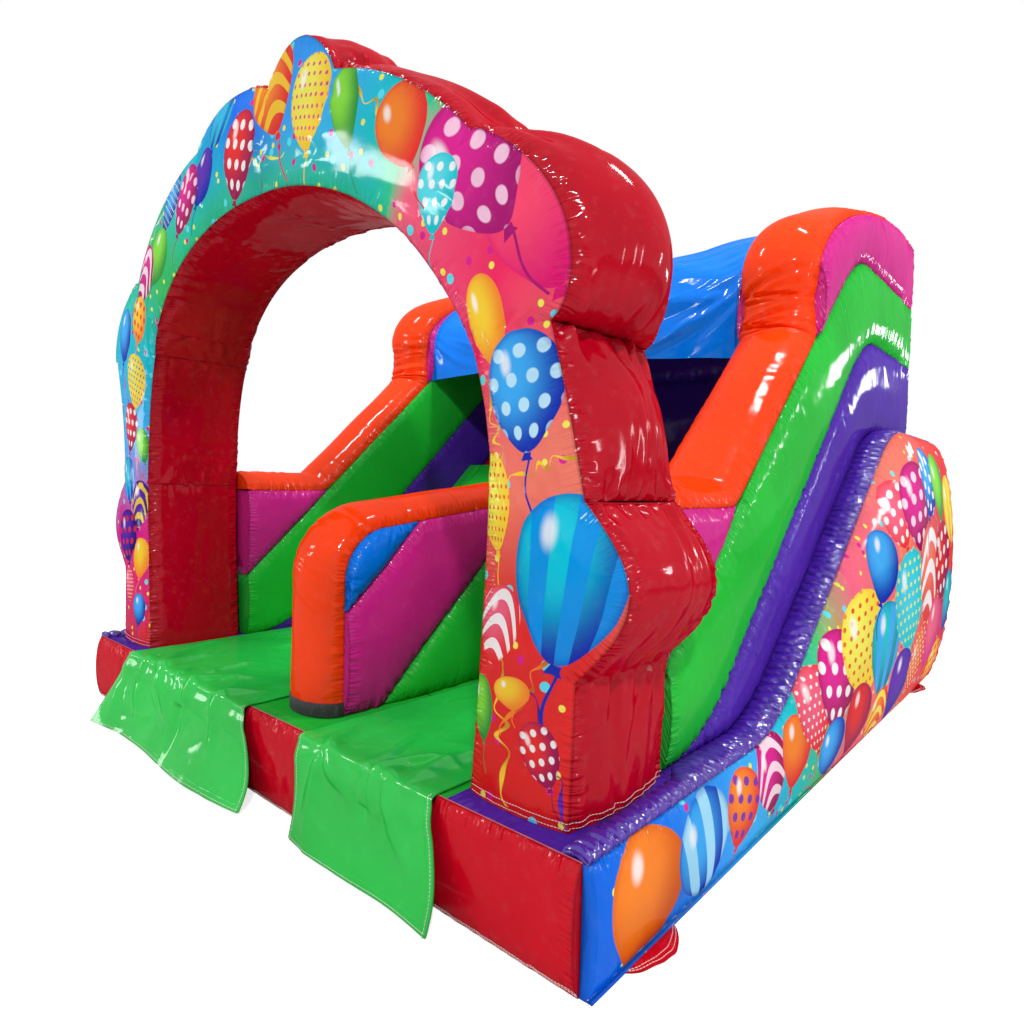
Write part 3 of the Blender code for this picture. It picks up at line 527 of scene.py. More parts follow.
# Printed balloons: kind, centre across, centre up, half width, half height, turn, main, deep, accent
ARCH_BALLOONS = (
    ("plain", 1.12, 1.52, 0.065, 0.120, 14, YELLOW, TANGERINE, WHITE),
    ("dotted", 1.235, 1.34, 0.115, 0.150, 6, SKY, DEEP_BLUE, (0.55, 0.85, 1.0)),
    ("speckled", 1.135, 1.07, 0.060, 0.125, 8, LEMON, YELLOW, SCARLET),
    ("ringed", 1.165, 0.76, 0.070, 0.105, -14, ROSE, SCARLET, WHITE),
    ("striped", 1.375, 0.895, 0.160, 0.205, -8, (0.0, 0.62, 0.80), DEEP_BLUE, (0.0, 0.30, 0.85)),
    ("plain", 1.115, 0.54, 0.040, 0.085, 6, LIME, LEAF, WHITE),
    ("dotted", 1.31, 0.47, 0.055, 0.080, 22, SCARLET, WINE, WHITE),
    ("plain", 1.22, 0.60, 0.060, 0.042, 8, YELLOW, TANGERINE, WHITE),
    ("plain", 1.285, 1.76, 0.155, 0.200, 16, (1.0, 0.06, 0.16), (0.75, 0.0, 0.16), WHITE),
    ("dotted", 1.09, 1.90, 0.150, 0.205, 32, MAGENTA, (0.40, 0.0, 0.16), (0.98, 0.62, 0.80)),
    ("dotted", 0.97, 1.86, 0.070, 0.100, -14, (0.10, 0.70, 0.80), TEAL, WHITE),
    ("plain", 0.84, 2.07, 0.095, 0.125, 18, TANGERINE, SCARLET, WHITE),
    ("plain", 0.60, 2.20, 0.062, 0.130, 8, LIME, LEAF, WHITE),
    ("speckled", 0.42, 2.27, 0.095, 0.145, -8, LEMON, YELLOW, MAGENTA),
    ("ringed", 0.20, 2.39, 0.125, 0.165, 14, TANGERINE, SCARLET, YELLOW),
    ("dotted", -0.02, 2.24, 0.105, 0.150, -20, SCARLET, WINE, WHITE),
    ("striped", -0.17, 2.42, 0.080, 0.115, -24, SKY, DEEP_BLUE, TEAL),
    ("plain", -0.30, 2.24, 0.070, 0.110, -34, VIOLET, DEEP_BLUE, WHITE),
    ("dotted", -0.46, 2.20, 0.090, 0.140, -36, MAGENTA, WINE, (1.0, 0.72, 0.84)),
    ("speckled", -0.63, 2.24, 0.080, 0.125, -30, SKY, DEEP_BLUE, LEMON),
    ("plain", -0.76, 2.04, 0.085, 0.130, -42, LIME, LEAF, WHITE),
    ("ringed", -0.93, 2.00, 0.095, 0.140, -44, MAGENTA, WINE, (1.0, 0.75, 0.85)),
    ("dotted", -1.03, 1.82, 0.075, 0.110, -30, YELLOW, TANGERINE, SCARLET),
    ("plain", -1.24, 1.78, 0.085, 0.130, -24, SKY, DEEP_BLUE, WHITE),
    ("speckled", -1.16, 1.56, 0.095, 0.130, -16, LEMON, YELLOW, VIOLET),
    ("dotted", -1.27, 1.35, 0.085, 0.120, -10, SCARLET, WINE, WHITE),
    ("plain", -1.15, 1.26, 0.055, 0.085, 10, LIME, LEAF, WHITE),
    ("striped", -1.31, 1.10, 0.080, 0.110, 8, TEAL, DEEP_BLUE, SKY),
    ("ringed", -1.18, 0.98, 0.080, 0.115, -8, VIOLET, (0.02, 0.0, 0.15), YELLOW),
    ("dotted", -1.32, 0.82, 0.110, 0.130, 6, VIOLET, (0.02, 0.0, 0.18), SCARLET),
    ("plain", -1.17, 0.72, 0.070, 0.100, -12, YELLOW, TANGERINE, WHITE),
    ("speckled", -1.30, 0.58, 0.060, 0.085, 12, ROSE, SCARLET, WHITE),
    ("plain", -1.18, 0.47, 0.060, 0.080, -8, SKY, DEEP_BLUE, WHITE),
)
SIDE_BALLOONS = (
    ("plain", 0.22, 0.14, 0.169, 0.163, -12, TANGERINE, (0.70, 0.10, 0.0), WHITE),
    ("striped", 0.52, 0.15, 0.149, 0.147, 14, SKY, DEEP_BLUE, (0.40, 0.80, 1.0)),
    ("dotted", 0.77, 0.17, 0.115, 0.116, -18, TANGERINE, SCARLET, VIOLET),
    ("ringed", 1.00, 0.20, 0.121, 0.131, 12, MAGENTA, WINE, (1.0, 0.75, 0.85)),
    ("plain", 1.20, 0.22, 0.115, 0.126, -14, TANGERINE, SCARLET, WHITE),
    ("speckled", 1.37, 0.33, 0.139, 0.159, 10, ROSE, SCARLET, WHITE),
    ("dotted", 1.57, 0.40, 0.178, 0.195, -10, MAGENTA, WINE, WHITE),
    ("plain", 1.55, 0.14, 0.124, 0.116, 14, SKY, DEEP_BLUE, WHITE),
    ("speckled", 1.84, 0.50, 0.232, 0.220, 16, LEMON, YELLOW, SCARLET),
    ("plain", 1.82, 0.19, 0.155, 0.152, -16, SCARLET, WINE, WHITE),
    ("striped", 2.10, 0.44, 0.194, 0.213, -6, TEAL, (0.0, 0.18, 0.30), SKY),
    ("plain", 2.06, 0.80, 0.155, 0.159, -20, SKY, DEEP_BLUE, WHITE),
    ("ringed", 2.12, 0.14, 0.139, 0.122, 8, TANGERINE, SCARLET, LEMON),
    ("dotted", 2.28, 1.02, 0.155, 0.159, 24, ROSE, SCARLET, WHITE),
    ("speckled", 2.42, 0.62, 0.232, 0.244, 12, (0.05, 0.60, 0.75), TEAL, LEMON),
    ("plain", 2.40, 0.22, 0.171, 0.177, -14, VIOLET, DEEP_BLUE, WHITE),
    ("dotted", 2.56, 1.06, 0.232, 0.220, 10, MAGENTA, WINE, (1.0, 0.72, 0.84)),
    ("ringed", 2.80, 0.72, 0.232, 0.256, -8, CORAL, SCARLET, WHITE),
    ("speckled", 2.72, 0.28, 0.178, 0.183, 20, TANGERINE, SCARLET, WHITE),
    ("dotted", 2.84, 1.18, 0.171, 0.183, -16, SKY, DEEP_BLUE, WHITE),
    ("plain", 3.08, 1.16, 0.147, 0.183, 8, LIME, LEAF, WHITE),
    ("dotted", 3.13, 0.76, 0.202, 0.220, 14, SCARLET, WINE, WHITE),
    ("plain", 3.02, 0.38, 0.186, 0.195, -14, ROSE, MAGENTA, WHITE),
    ("striped", 3.36, 1.04, 0.155, 0.195, 8, YELLOW, TANGERINE, LEMON),
    ("plain", 3.37, 0.52, 0.147, 0.183, -6, TEAL, DEEP_BLUE, WHITE),
    ("dotted", 3.26, 0.17, 0.139, 0.140, 8, YELLOW, TANGERINE, SCARLET),
)
# Printed streamers: centre across, centre up, half width, half length, turn, colour
ARCH_STREAMERS = (
    (1.19, 0.50, 0.026, 0.19, 8, YELLOW), (1.27, 0.62, 0.018, 0.16, -32, TANGERINE),
    (1.34, 0.46, 0.020, 0.17, 22, VIOLET), (1.14, 1.24, 0.020, 0.15, 18, YELLOW),
    (1.30, 1.16, 0.016, 0.12, -70, YELLOW), (-1.27, 0.90, 0.022, 0.22, -10, YELLOW),
    (-1.16, 1.10, 0.018, 0.16, 26, TANGERINE), (-1.29, 1.46, 0.020, 0.18, 12, MAGENTA),
    (0.74, 2.15, 0.018, 0.20, 50, YELLOW), (0.10, 2.18, 0.016, 0.18, 84, LEMON),
    (-0.84, 2.14, 0.018, 0.18, -50, WHITE), (1.02, 1.98, 0.014, 0.14, 30, YELLOW),
)
SIDE_STREAMERS = (
    (0.95, 0.20, 0.018, 0.15, 20, VIOLET), (1.68, 0.50, 0.022, 0.22, 40, YELLOW),
    (2.25, 0.80, 0.022, 0.22, -24, YELLOW), (2.66, 0.50, 0.020, 0.22, 16, MAGENTA),
    (2.98, 0.96, 0.018, 0.22, 30, SKY),
)
# Printed confetti: spots for a metre and colour
CONFETTI = ((13.0, LEMON), (11.0, MAGENTA), (9.0, (0.1, 0.75, 0.9)))
CONFETTI_LEFT_OUT = 0.62
# Where the side print's stretches end, as distances from the front
SIDE_STRETCHES = (-0.1, 1.1, 1.7, 2.24, 2.78, 3.7)


def reaching(rows, width_at, low, high):
    """The figures that reach into a box of the plane."""
    kept = []
    for row in rows:
        across, up, half, tall = row[width_at:width_at + 4]
        reach = max(half, tall) * 1.25
        if low[0] - reach < across < high[0] + reach and low[1] - reach < up < high[1] + tall * 2.1:
            kept.append(row)
    return kept


def printed_vinyl(name, plane_axes, background, balloons, streamers):
    """Glossy fabric printed with balloons, streamers and confetti on a plane through two axes."""
    if name in bpy.data.materials:
        return bpy.data.materials[name]
    made, w = fresh_material(name)
    place = w.split(object_place(w))
    across, up = (place[axis] for axis in plane_axes)
    if plane_axes[0] == 1:
        across = w.plus(across, BASE_DEPTH / 2)
    plane = w.join(across, up, 0.0)
    tone = background(w, plane)
    for scale, colour in CONFETTI:
        moved = w.node("ShaderNodeVectorMath", {"operation": "ADD"}, Vector=plane)
        moved.inputs[1].default_value = (scale, scale / 3, 0.0)
        cell = w.node("ShaderNodeTexVoronoi", {"voronoi_dimensions": "2D"}, Vector=moved.outputs[0],
                      Scale=scale, Randomness=1.0)
        few = w.math("GREATER_THAN", w.split(cell.outputs["Color"])[0], CONFETTI_LEFT_OUT)
        few = w.times(few, w.math("GREATER_THAN", w.math("ABSOLUTE", across), 0.03))
        tone = w.blend(w.times(w.ease(cell.outputs["Distance"], 0.13, 0.10), few), tone, colour)
    rows = [("", *row[:5], row[5:]) for row in streamers] + [(*row[:6], row[6:]) for row in balloons]
    for kind, *placing, turn, colours in rows:
        group = figure_group(kind) if kind else streamer_group()
        figure = w.node("ShaderNodeGroup", {"node_tree": group}, Below=tone, Across=across, Up=up)
        for title, value in zip(PLACING, (*placing, math.radians(turn))):
            figure.inputs[title].default_value = value
        for title, value in zip(("Main", "Deep", "Accent"), colours):
            figure.inputs[title].default_value = (*value, 1.0)
        tone = figure.outputs[0]
    finish_vinyl(w, tone, 0.09, 1.2)
    return made


# Gradients of the two prints: places along them and their colours
ARCH_STOPS = (
    (0.02, SCARLET), (0.12, MAGENTA), (0.19, SKY), (0.27, TEAL), (0.34, (0.03, 0.50, 0.10)), (0.42, TEAL),
    (0.50, (0.0, 0.14, 0.85)), (0.58, SKY), (0.64, TEAL), (0.672, (0.02, 0.60, 0.30)), (0.69, ROSE),
    (0.76, (0.90, 0.01, 0.12)), (0.84, CORAL), (0.90, SCARLET), (1.0, (0.72, 0.01, 0.01)),
)
SIDE_STOPS = (
    (0.0, (0.0, 0.14, 0.80)), (0.14, SKY), (0.27, TEAL), (0.38, (0.05, 0.55, 0.15)), (0.50, ROSE),
    (0.75, CORAL), (1.0, SCARLET),
)


def arch_background(w, plane):
    """A colour gradient round the arch, greener towards the opening of the crown."""
    x, z, _ = w.split(plane)
    height = w.minus(z, ARCH_SPRING)
    turn = w.math("ARCTAN2", x, height)
    wobble = w.times(w.minus(w.noise(plane, 2.6, 1.0), 0.5), 0.10)
    tone = w.ramp(w.plus(w.math("MULTIPLY_ADD", turn, 1 / 4.6, 0.5), wobble), ARCH_STOPS)
    near_opening = w.ease(w.reach(x, height), 1.0, 1.20, 1.0, 0.0)
    inner = w.times(near_opening, w.ease(w.math("ABSOLUTE", turn), 0.6, 0.9, 1.0, 0.0))
    return w.blend(w.times(inner, 0.75), tone, (0.02, 0.55, 0.14))


def arch_print(node, low, high):
    """The arch's print on one chamber, with the figures that reach into it."""
    balloons = reaching(ARCH_BALLOONS, 1, low, high)
    streamers = reaching(ARCH_STREAMERS, 0, low, high)
    return printed_vinyl(f"print_{node}", (0, 2), arch_background, balloons, streamers)


def side_background(w, plane):
    """A colour gradient from the base's front to its rear, bent by a slow noise."""
    wobble = w.times(w.minus(w.noise(plane, 2.2, 1.0), 0.5), 0.12)
    return w.ramp(w.plus(w.ease(w.split(plane)[0], 0.0, BASE_DEPTH), wobble), SIDE_STOPS)


def side_print(part):
    """One stretch of the side print; figures that cross its ends are in both stretches."""
    low, high = (SIDE_STRETCHES[part], 0.0), (SIDE_STRETCHES[part + 1], 1.5)
    return printed_vinyl(f"print_side_{part + 1}", (1, 2), side_background,
                         reaching(SIDE_BALLOONS, 1, low, high), reaching(SIDE_STREAMERS, 0, low, high))


# Shapes of the fabric

def unit(vectors):
    return vectors / np.maximum(np.linalg.norm(vectors, axis=-1, keepdims=True), 1e-9)


def per_ring(value, count):
    """A value for each ring, from one value or from one for each."""
    if np.ndim(value):
        return np.broadcast_to(np.asarray(value, float).reshape(-1, 1), (count, 1))
    return np.full((count, 1), float(value))


def smoothstep(value):
    value = np.clip(value, 0.0, 1.0)
    return value * value * (3 - 2 * value)


def points(x, y, z):
    """Points from coordinates of equal or single length; y is measured back from the base's front."""
    x, y, z = np.broadcast_arrays(np.asarray(x, float), np.asarray(y, float), np.asarray(z, float))
    return np.stack([x, y - BASE_DEPTH / 2, z], axis=-1)


def four_sides(low, high, across, halves, crowns, cuts, arc=False):
    """Rings with four seams and swelling sides between them, and the seams' columns."""
    count = len(low)
    across = np.broadcast_to(np.array(across, float), low.shape)
    up = unit(high - low)
    low_half = across * per_ring(halves[0], count)
    high_half = across * per_ring(halves[1], count)
    corners = (low + low_half, high + high_half, high - high_half, low - low_half)
    outs = (across, up, -across, -up)
    parts = []
    for i in range(4):
        start, end = corners[i], corners[(i + 1) % 4]
        step = np.arange(cuts[i]) / cuts[i]
        share = step if arc else (1 - np.cos(np.pi * step)) / 2
        swell = 4 * share * (1 - share) if arc else np.sin(np.pi * step)
        straight = start[:, None] + (end - start)[:, None] * share[None, :, None]
        parts.append(straight + outs[i][:, None] * per_ring(crowns[i], count)[:, None] * swell[None, :, None])
    return np.concatenate(parts, axis=1), np.cumsum([0, *cuts[:3]])


def running(line):
    """Distances along a line from its first point."""
    return np.concatenate([[0.0], np.cumsum(np.linalg.norm(np.diff(line, axis=0), axis=1))])


def spaced(path, step):
    """The same line with points at an even spacing."""
    run = running(path)
    places = np.linspace(0, run[-1], max(int(run[-1] / step), 4) + 1)
    return np.stack([np.interp(places, run, path[:, k]) for k in range(path.shape[1])], axis=1)


def between(low, high, grain):
    """Places from one end to another at an even spacing."""
    return spaced(np.array([[low, 0.0], [high, 0.0]]), grain)[:, 0]


def smoothed(values, width):
    """Moving average of rows, with its ends kept."""
    if width < 1:
        return values
    ends = np.repeat(values[:1], width, axis=0), np.repeat(values[-1:], width, axis=0)
    longer = np.concatenate([ends[0], values, ends[1]])
    kernel = np.ones(2 * width + 1) / (2 * width + 1)
    return np.stack([np.convolve(longer[:, k], kernel, mode="valid") for k in range(values.shape[1])], axis=1)


def grid_normals(grid, cyclic=True):
    """Normals of a grid of points; those of a closed tube point outwards."""
    along = np.gradient(grid, axis=0)
    if not cyclic:
        return unit(np.cross(np.gradient(grid, axis=1), along))
    normal = unit(np.cross(np.roll(grid, -1, axis=1) - np.roll(grid, 1, axis=1), along))
    outwards = grid - grid.mean(axis=1, keepdims=True)
    return -normal if (normal * outwards).sum() < 0 else normal


def along_seam(grid, seam):
    """Distance along a seam and square to it, for rows of points that cross it."""
    tangent = unit(np.gradient(seam, axis=0))
    offset = grid - seam[:, None]
    ahead = (offset * tangent[:, None]).sum(axis=2)
    square = np.linalg.norm(offset - ahead[..., None] * tangent[:, None], axis=2)
    return running(seam)[:, None] + ahead, square


def valley(x, ridge):
    """The section of a pucker: a valley between two low ridges."""
    return ridge * np.exp(-(x - 1.6) ** 2) + ridge * np.exp(-(x + 1.6) ** 2) - np.exp(-x * x)


def gathers(run, square, spec, rng):
    """Valleys that run out of a seam: none at the stitches, deepest close by, then fading."""
    pitch, width, depth, reach = spec
    total = np.zeros_like(run)
    middle = run.mean(axis=1)
    spread = np.abs(run - middle[:, None]).max(axis=1)
    for place in np.arange(run.min(), run.max(), pitch):
        centre = place + rng.uniform(-0.5, 0.5) * pitch
        wide = width * rng.uniform(0.6, 1.5)
        far = reach * rng.lognormal(-0.15, 0.5)
        deep = depth * rng.uniform(0.35, 1.3)
        lean = rng.normal(0.0, 0.22)
        rows = np.abs(middle - centre) < spread + 5 * wide + 0.3 * far
        if not rows.any():
            continue
        d = square[rows]
        x = (run[rows] - centre - lean * d) / (wide * (1 + 0.9 * d / far))
        fade = np.exp(-(d / far) ** 1.5) * np.minimum(d / 0.007, 1.0)
        total[rows] += deep * fade * valley(x, 0.6)
    return total


def soft_noise(grid, wave, rng, count=6):
    """A slow swell of the fabric: a few plane waves added up, from -1 to 1."""
    total = np.zeros(grid.shape[:2])
    for _ in range(count):
        direction = unit(rng.normal(size=3)) * math.tau / (wave * rng.uniform(0.7, 1.5))
        total += np.sin(grid @ direction + rng.uniform(0, math.tau))
    return total / count


def put(name, data):
    """A new object in the scene."""
    made = bpy.data.objects.new(name, data)
    bpy.context.scene.collection.objects.link(made)
    return made


def new_mesh(name, verts, faces, flat=None):
    """A mesh from points and faces, with the flat seam coordinates of its points as its UV map."""
    mesh = bpy.data.meshes.new(name)
    mesh.from_pydata(verts.reshape(-1, 3).tolist(), [], faces)
    if flat is not None:
        layer = mesh.uv_layers.new(name="seam")
        index = np.empty(len(mesh.loops), dtype=np.int32)
        mesh.loops.foreach_get("vertex_index", index)
        layer.data.foreach_set("uv", flat.reshape(-1, 2)[index].astype(np.float32).ravel())
    return mesh


def face_outwards(mesh):
    bm = bmesh.new()
    bm.from_mesh(mesh)
    bmesh.ops.recalc_face_normals(bm, faces=bm.faces)
    bm.to_mesh(mesh)
    bm.free()


def shade(mesh, degrees=60):
    """Smooth shading with edges kept crisp above an angle."""
    mesh.shade_smooth()
    mesh.set_sharp_from_angle(angle=math.radians(degrees))


def evaluated_mesh(made):
    """The plain mesh that an object's modifiers make."""
    bpy.context.view_layer.update()
    return bpy.data.meshes.new_from_object(made.evaluated_get(bpy.context.evaluated_depsgraph_get()))


# Skins: wavelength and fading width of the slow swell, the flat strip at the stitches, how far the puckers of
# an end ring run, the width of its groove, the rings of a domed and of a flat cap, and their sharpest edge
SWELL_WAVE = 0.32
SWELL_FADE = 0.06
STITCHED_WIDTH = 0.004
END_REACH = 0.3
GROOVE_WIDTH = 0.022
CAP_SHARES = (0.93, 0.8, 0.55, 0.3)
CAP_SHARES_FLAT = (0.5,)
CAP_MIDDLE_DEPTH = 0.2
SKIN_SHARP_ANGLE = 52


def outward_mesh(name, verts, faces, uv, slots):
    """A mesh with its faces outwards, its seam coordinates and a material for each face."""
    corners = np.array([f[:3] for f in faces])
    a, b, c = verts[corners[:, 0]], verts[corners[:, 1]], verts[corners[:, 2]]
    quads = np.array([len(f) == 4 for f in faces])
    last = np.array([f[-1] for f in faces])
    volume = (a * np.cross(b, c)).sum() + (a[quads] * np.cross(c[quads], verts[last[quads]])).sum()
    if volume < 0:
        faces = [f[::-1] for f in faces]
    mesh = new_mesh(name, verts, faces, uv)
    for key, column in (("run", 0), ("near", 1)):
        mesh.attributes.new(key, "FLOAT", "POINT").data.foreach_set("value", uv[:, column].astype(np.float32))
    mesh.polygons.foreach_set("material_index", slots.astype(np.int32))
    shade(mesh, SKIN_SHARP_ANGLE)
    mesh.update()
    return mesh


def tube_faces(n, m, first=0):
    """Faces of a tube of n rings with m points each."""
    rows = np.arange(n - 1)[:, None] * m
    cols = np.arange(m)[None]
    turn = (cols + 1) % m
    quads = np.stack([rows + cols, rows + turn, rows + m + turn, rows + m + cols], axis=-1) + first
    return quads.reshape(-1, 4).tolist()


def finish_piece(name, mesh, materials, nodes, body=MAIN_BODY):
    """A piece of the visual model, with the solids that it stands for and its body."""
    made = put(name, mesh)
    for item in materials:
        mesh.materials.append(item)
    if nodes:
        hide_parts(*nodes)
    if body:
        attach(made, body)
    return made


def cap_rings(grid, row, rise, way, first):
    """Points, depths and faces of the shallow dome that closes a skin at its first or last ring."""
    m = grid.shape[1]
    middle = grid[row].mean(axis=0)
    step = unit(middle - grid[row - way].mean(axis=0))
    verts, depths, faces = [], [], []
    ring_start = row * m
    for share in CAP_SHARES if rise else CAP_SHARES_FLAT:
        ring = middle + (grid[row] - middle) * share + step * rise * math.sqrt(1 - share * share)
        verts.append(ring)
        depths.append(np.linalg.norm(grid[row] - ring, axis=1))
        for j in range(m):
            k = (j + 1) % m
            quad = (ring_start + j, ring_start + k, first + k, first + j)
            faces.append(quad if way > 0 else quad[::-1])
        ring_start = first
        first += m
    verts.append((middle + step * rise)[None])
    depths.append(np.array([CAP_MIDDLE_DEPTH]))
    for j in range(m):
        triangle = (ring_start + j, ring_start + (j + 1) % m, first)
        faces.append(triangle if way > 0 else triangle[::-1])
    return np.concatenate(verts), np.concatenate(depths), faces


def skin(node, rings, starts, fabrics, specs, seed, ends=(None, None), groove=(0.0, 0.0),
         dome=(0.0, 0.0), swell=0.003, extra=None, cap=None, body=MAIN_BODY, flat_sides=(), settled=0.0,
         trimmed=True):
    """The closed skin of one air chamber, laid over its solid.

    starts are the seams' columns; fabrics and specs give each side its material and its puckers.
    ends are the puckers of the first and last ring, groove how far the skin draws in there.
    settled is the height over the ground below which the puckers are pressed flat.
    """
    rng = np.random.default_rng(seed)
    n, m = rings.shape[:2]
    normal = grid_normals(rings)
    apart = [np.linalg.norm(rings - rings[row][None], axis=2) for row in (0, -1)]
    shift = soft_noise(rings, SWELL_WAVE, rng) * swell * smoothstep(np.minimum(*apart) / SWELL_FADE)
    near = np.full((n, m), 9.0)
    run = np.zeros((n, m))
    side_of = np.zeros(m, dtype=int)
    bounds = [*starts, m]
    for k, (first, last) in enumerate(zip(bounds, bounds[1:])):
        side_of[first:last] = k
        columns = np.arange(first, last + 1) % m
        if k in flat_sides:
            shift[:, columns] = 0.0
        for edge in (first, last % m):
            s, d = along_seam(rings[:, columns], rings[:, edge])
            if specs[k]:
                shift[:, columns] += gathers(s, d, specs[k], rng)
            closer = d < near[:, columns]
            near[:, columns] = np.where(closer, d, near[:, columns])
            run[:, columns] = np.where(closer, s, run[:, columns])
    shift *= np.minimum(near / STITCHED_WIDTH, 1.0)
    for row, spec, depth in ((0, ends[0], groove[0]), (n - 1, ends[1], groove[1])):
        picked = np.linalg.norm(rings - rings[row][None], axis=2).mean(axis=1) < END_REACH
        s, d = along_seam(np.swapaxes(rings[picked], 0, 1), rings[row])
        if spec:
            shift[picked] += gathers(s, d, spec, rng).T * np.minimum(near[picked] / 0.012 + 0.15, 1.0)
        shift[picked] -= depth * np.exp(-d.T / GROOVE_WIDTH)
        if spec:
            closer = d.T < near[picked]
            near[picked] = np.where(closer, d.T, near[picked])
            run[picked] = np.where(closer, s.T, run[picked])
    for k in flat_sides:
        shift[:, side_of == k] = 0.0
    if settled:
        shift *= 0.15 + 0.85 * smoothstep(rings[..., 2] / settled)
    if extra is not None:
        shift = shift + extra
    grid = rings + normal * shift[..., None]
    grid[..., 2] = np.maximum(grid[..., 2], ABOVE_GROUND)
    verts = [grid.reshape(-1, 3)]
    faces = tube_faces(n, m)
    slots = np.tile([fabrics[k] for k in side_of], n - 1)
    uv = [np.stack([run, near], axis=-1).reshape(-1, 2)]
    for row, rise, way in ((0, dome[0], -1), (n - 1, dome[1], 1)):
        added, depths, closing = cap_rings(grid, row, rise, way, sum(len(part) for part in verts))
        verts.append(added)
        uv.append(np.stack([np.zeros(len(depths)), depths], axis=-1))
        faces.extend(closing)
    slots = np.concatenate([slots, np.full(len(faces) - len(slots), fabrics[0] if cap is None else cap)])
    mesh = outward_mesh(node, np.concatenate(verts), faces, np.concatenate(uv), slots)
    GRIDS[node] = (grid, normal)
    made = finish_piece(f"{node}_skin", mesh, fabric_list(), [node], body)
    return trim_slots(made) if trimmed else made


# The fabrics in their order, and each skin's grid of points with its normals
MATERIALS = []
GRIDS = {}
FABRICS = ("crimson", "red", "orange", "green", "apron", "purple", "pink", "blue")


def fabric_list():
    """All fabrics in one fixed order, so that a face's index names its fabric on every skin."""
    if not MATERIALS:
        MATERIALS.extend(vinyl(name) for name in FABRICS)
        MATERIALS.extend([vinyl("crimson")] * (len(SIDE_STRETCHES) - 1))
    return MATERIALS


def trim_slots(made):
    """Drops the materials that a skin's faces don't use."""
    mesh = made.data
    index = np.empty(len(mesh.polygons), dtype=np.int32)
    mesh.polygons.foreach_get("material_index", index)
    used, inverse = np.unique(index, return_inverse=True)
    kept = [mesh.materials[int(k)] for k in used]
    mesh.materials.clear()
    for item in kept:
        mesh.materials.append(item)
    mesh.polygons.foreach_set("material_index", inverse.astype(np.int32))
    return made


# Seam lines of the walls, as heights over the distance from the front

def eased_ramp(y, foot, crest, low, high):
    """A straight slope with its two corners eased over a fixed length."""
    y = np.asarray(y, float)
    taps = [np.clip((y + tap * CORNER_EASE - foot) / (crest - foot), 0, 1)
            for tap in np.linspace(-0.5, 0.5, 9)]
    return low + (high - low) * sum(taps) / len(taps)


def ledge_z(y):
    return eased_ramp(y, SIDE_FOOT, SIDE_CREST, BEAM_HEIGHT, SIDE_HEIGHT)


def purple_z(y):
    return np.maximum(ledge_z(y), eased_ramp(y, PURPLE_FOOT, PURPLE_CREST, BEAM_HEIGHT, PURPLE_HEIGHT))


def green_z(y):
    return eased_ramp(y, GREEN_FOOT, GREEN_CREST, BEAM_HEIGHT, GREEN_HEIGHT)


def capping_z(y):
    """The seam under the orange capping: low wall, slope, then the tower's rounded head."""
    y = np.asarray(y, float)
    share = np.clip((TOWER_CREST - y) / (TOWER_CREST - TOWER_FRONT), 0, 1)
    rounded = (1 - share ** TOWER_ROUND) ** (1 / TOWER_ROUND)
    head = TOWER_SHOULDER + (TOWER_HEIGHT - TOWER_SHOULDER) * rounded
    apart = green_z(y) - LOW_WALL_HEIGHT
    low = LOW_WALL_HEIGHT + (apart + np.sqrt(apart ** 2 + SEAM_ROUND ** 2)) / 2
    return np.where(y < TOWER_FRONT, low, head)


def lane_floor(y):
    slope = (PLATFORM_HEIGHT - BEAM_HEIGHT) / (PLATFORM_FRONT - SLOPE_FOOT)
    return BEAM_HEIGHT + np.clip(np.asarray(y, float) - SLOPE_FOOT, 0, PLATFORM_FRONT - SLOPE_FOOT) * slope


def stations(line, start, end, grain):
    """Distances from the front at an even spacing along a seam line."""
    y = start + (end - start) * np.linspace(0, 1, 4000) ** 1.5
    return spaced(np.stack([y, line(y)], axis=1), grain)[:, 0]


SEAM_ROUND = 0.03
THINNEST_BAND = 0.010
END_PANEL = 3.21
CRIMSON, RED, ORANGE, GREEN, APRON, PURPLE, PINK, BLUE, PRINT = range(9)


def pucker(sizes, pitch=1.0, width=1.0, depth=1.0, reach=1.0):
    """Puckers of one seam: pitch, width, depth and reach, as shares of the set ones."""
    return (sizes.pucker_pitch * pitch, sizes.pucker_pitch * 0.2 * width, sizes.pucker_depth * depth,
            sizes.pucker_reach * reach)


def build_band(sizes, word, side, node, low, high, start, end, fabric, seed):
    """One tube of a side wall between two seam lines."""
    y = stations(high, start, end, sizes.grain)
    bottom = low(y) + SEAM_GAP / 2
    top = high(y) - SEAM_GAP / 2
    kept = top - bottom > THINNEST_BAND
    y, bottom, top = y[kept], bottom[kept], top[kept]
    thick = top - bottom
    flatter = 1 - 0.8 * smoothstep((y - END_PANEL + 0.05) / 0.07)
    crown = np.minimum(TUBE_CROWN, thick / 4) * flatter
    open_above = smoothstep(((bottom + top) / 2 - lane_floor(y)) / 0.12)
    inner = np.minimum(TUBE_CROWN * 0.7, thick / 4) * open_above
    x = side * (WALL_INNER + WALL_THICKNESS / 2)
    half = WALL_THICKNESS / 2
    rings, starts = four_sides(points(x, y, bottom), points(x, y, top), (side, 0, 0), (half, half),
                               (crown, 0, inner, 0), (36, 2, 24, 2))
    crease = -0.006 * np.exp(-((y - END_PANEL) / 0.012) ** 2)
    skin(f"{word}_wall_{node}", rings, starts, [fabric] * 4,
         [pucker(sizes), None, pucker(sizes, 1.3, 1.0, 0.8, 0.9), None], seed,
         ends=(pucker(sizes, 1.2, 1.2, 1.0, 1.0), pucker(sizes, 1.4, 1.2, 1.0, 0.8)), groove=(0.004, 0.006),
         dome=(0.0, 0.008), flat_sides=(1, 3), extra=np.repeat(crease[:, None], rings.shape[1], axis=1))


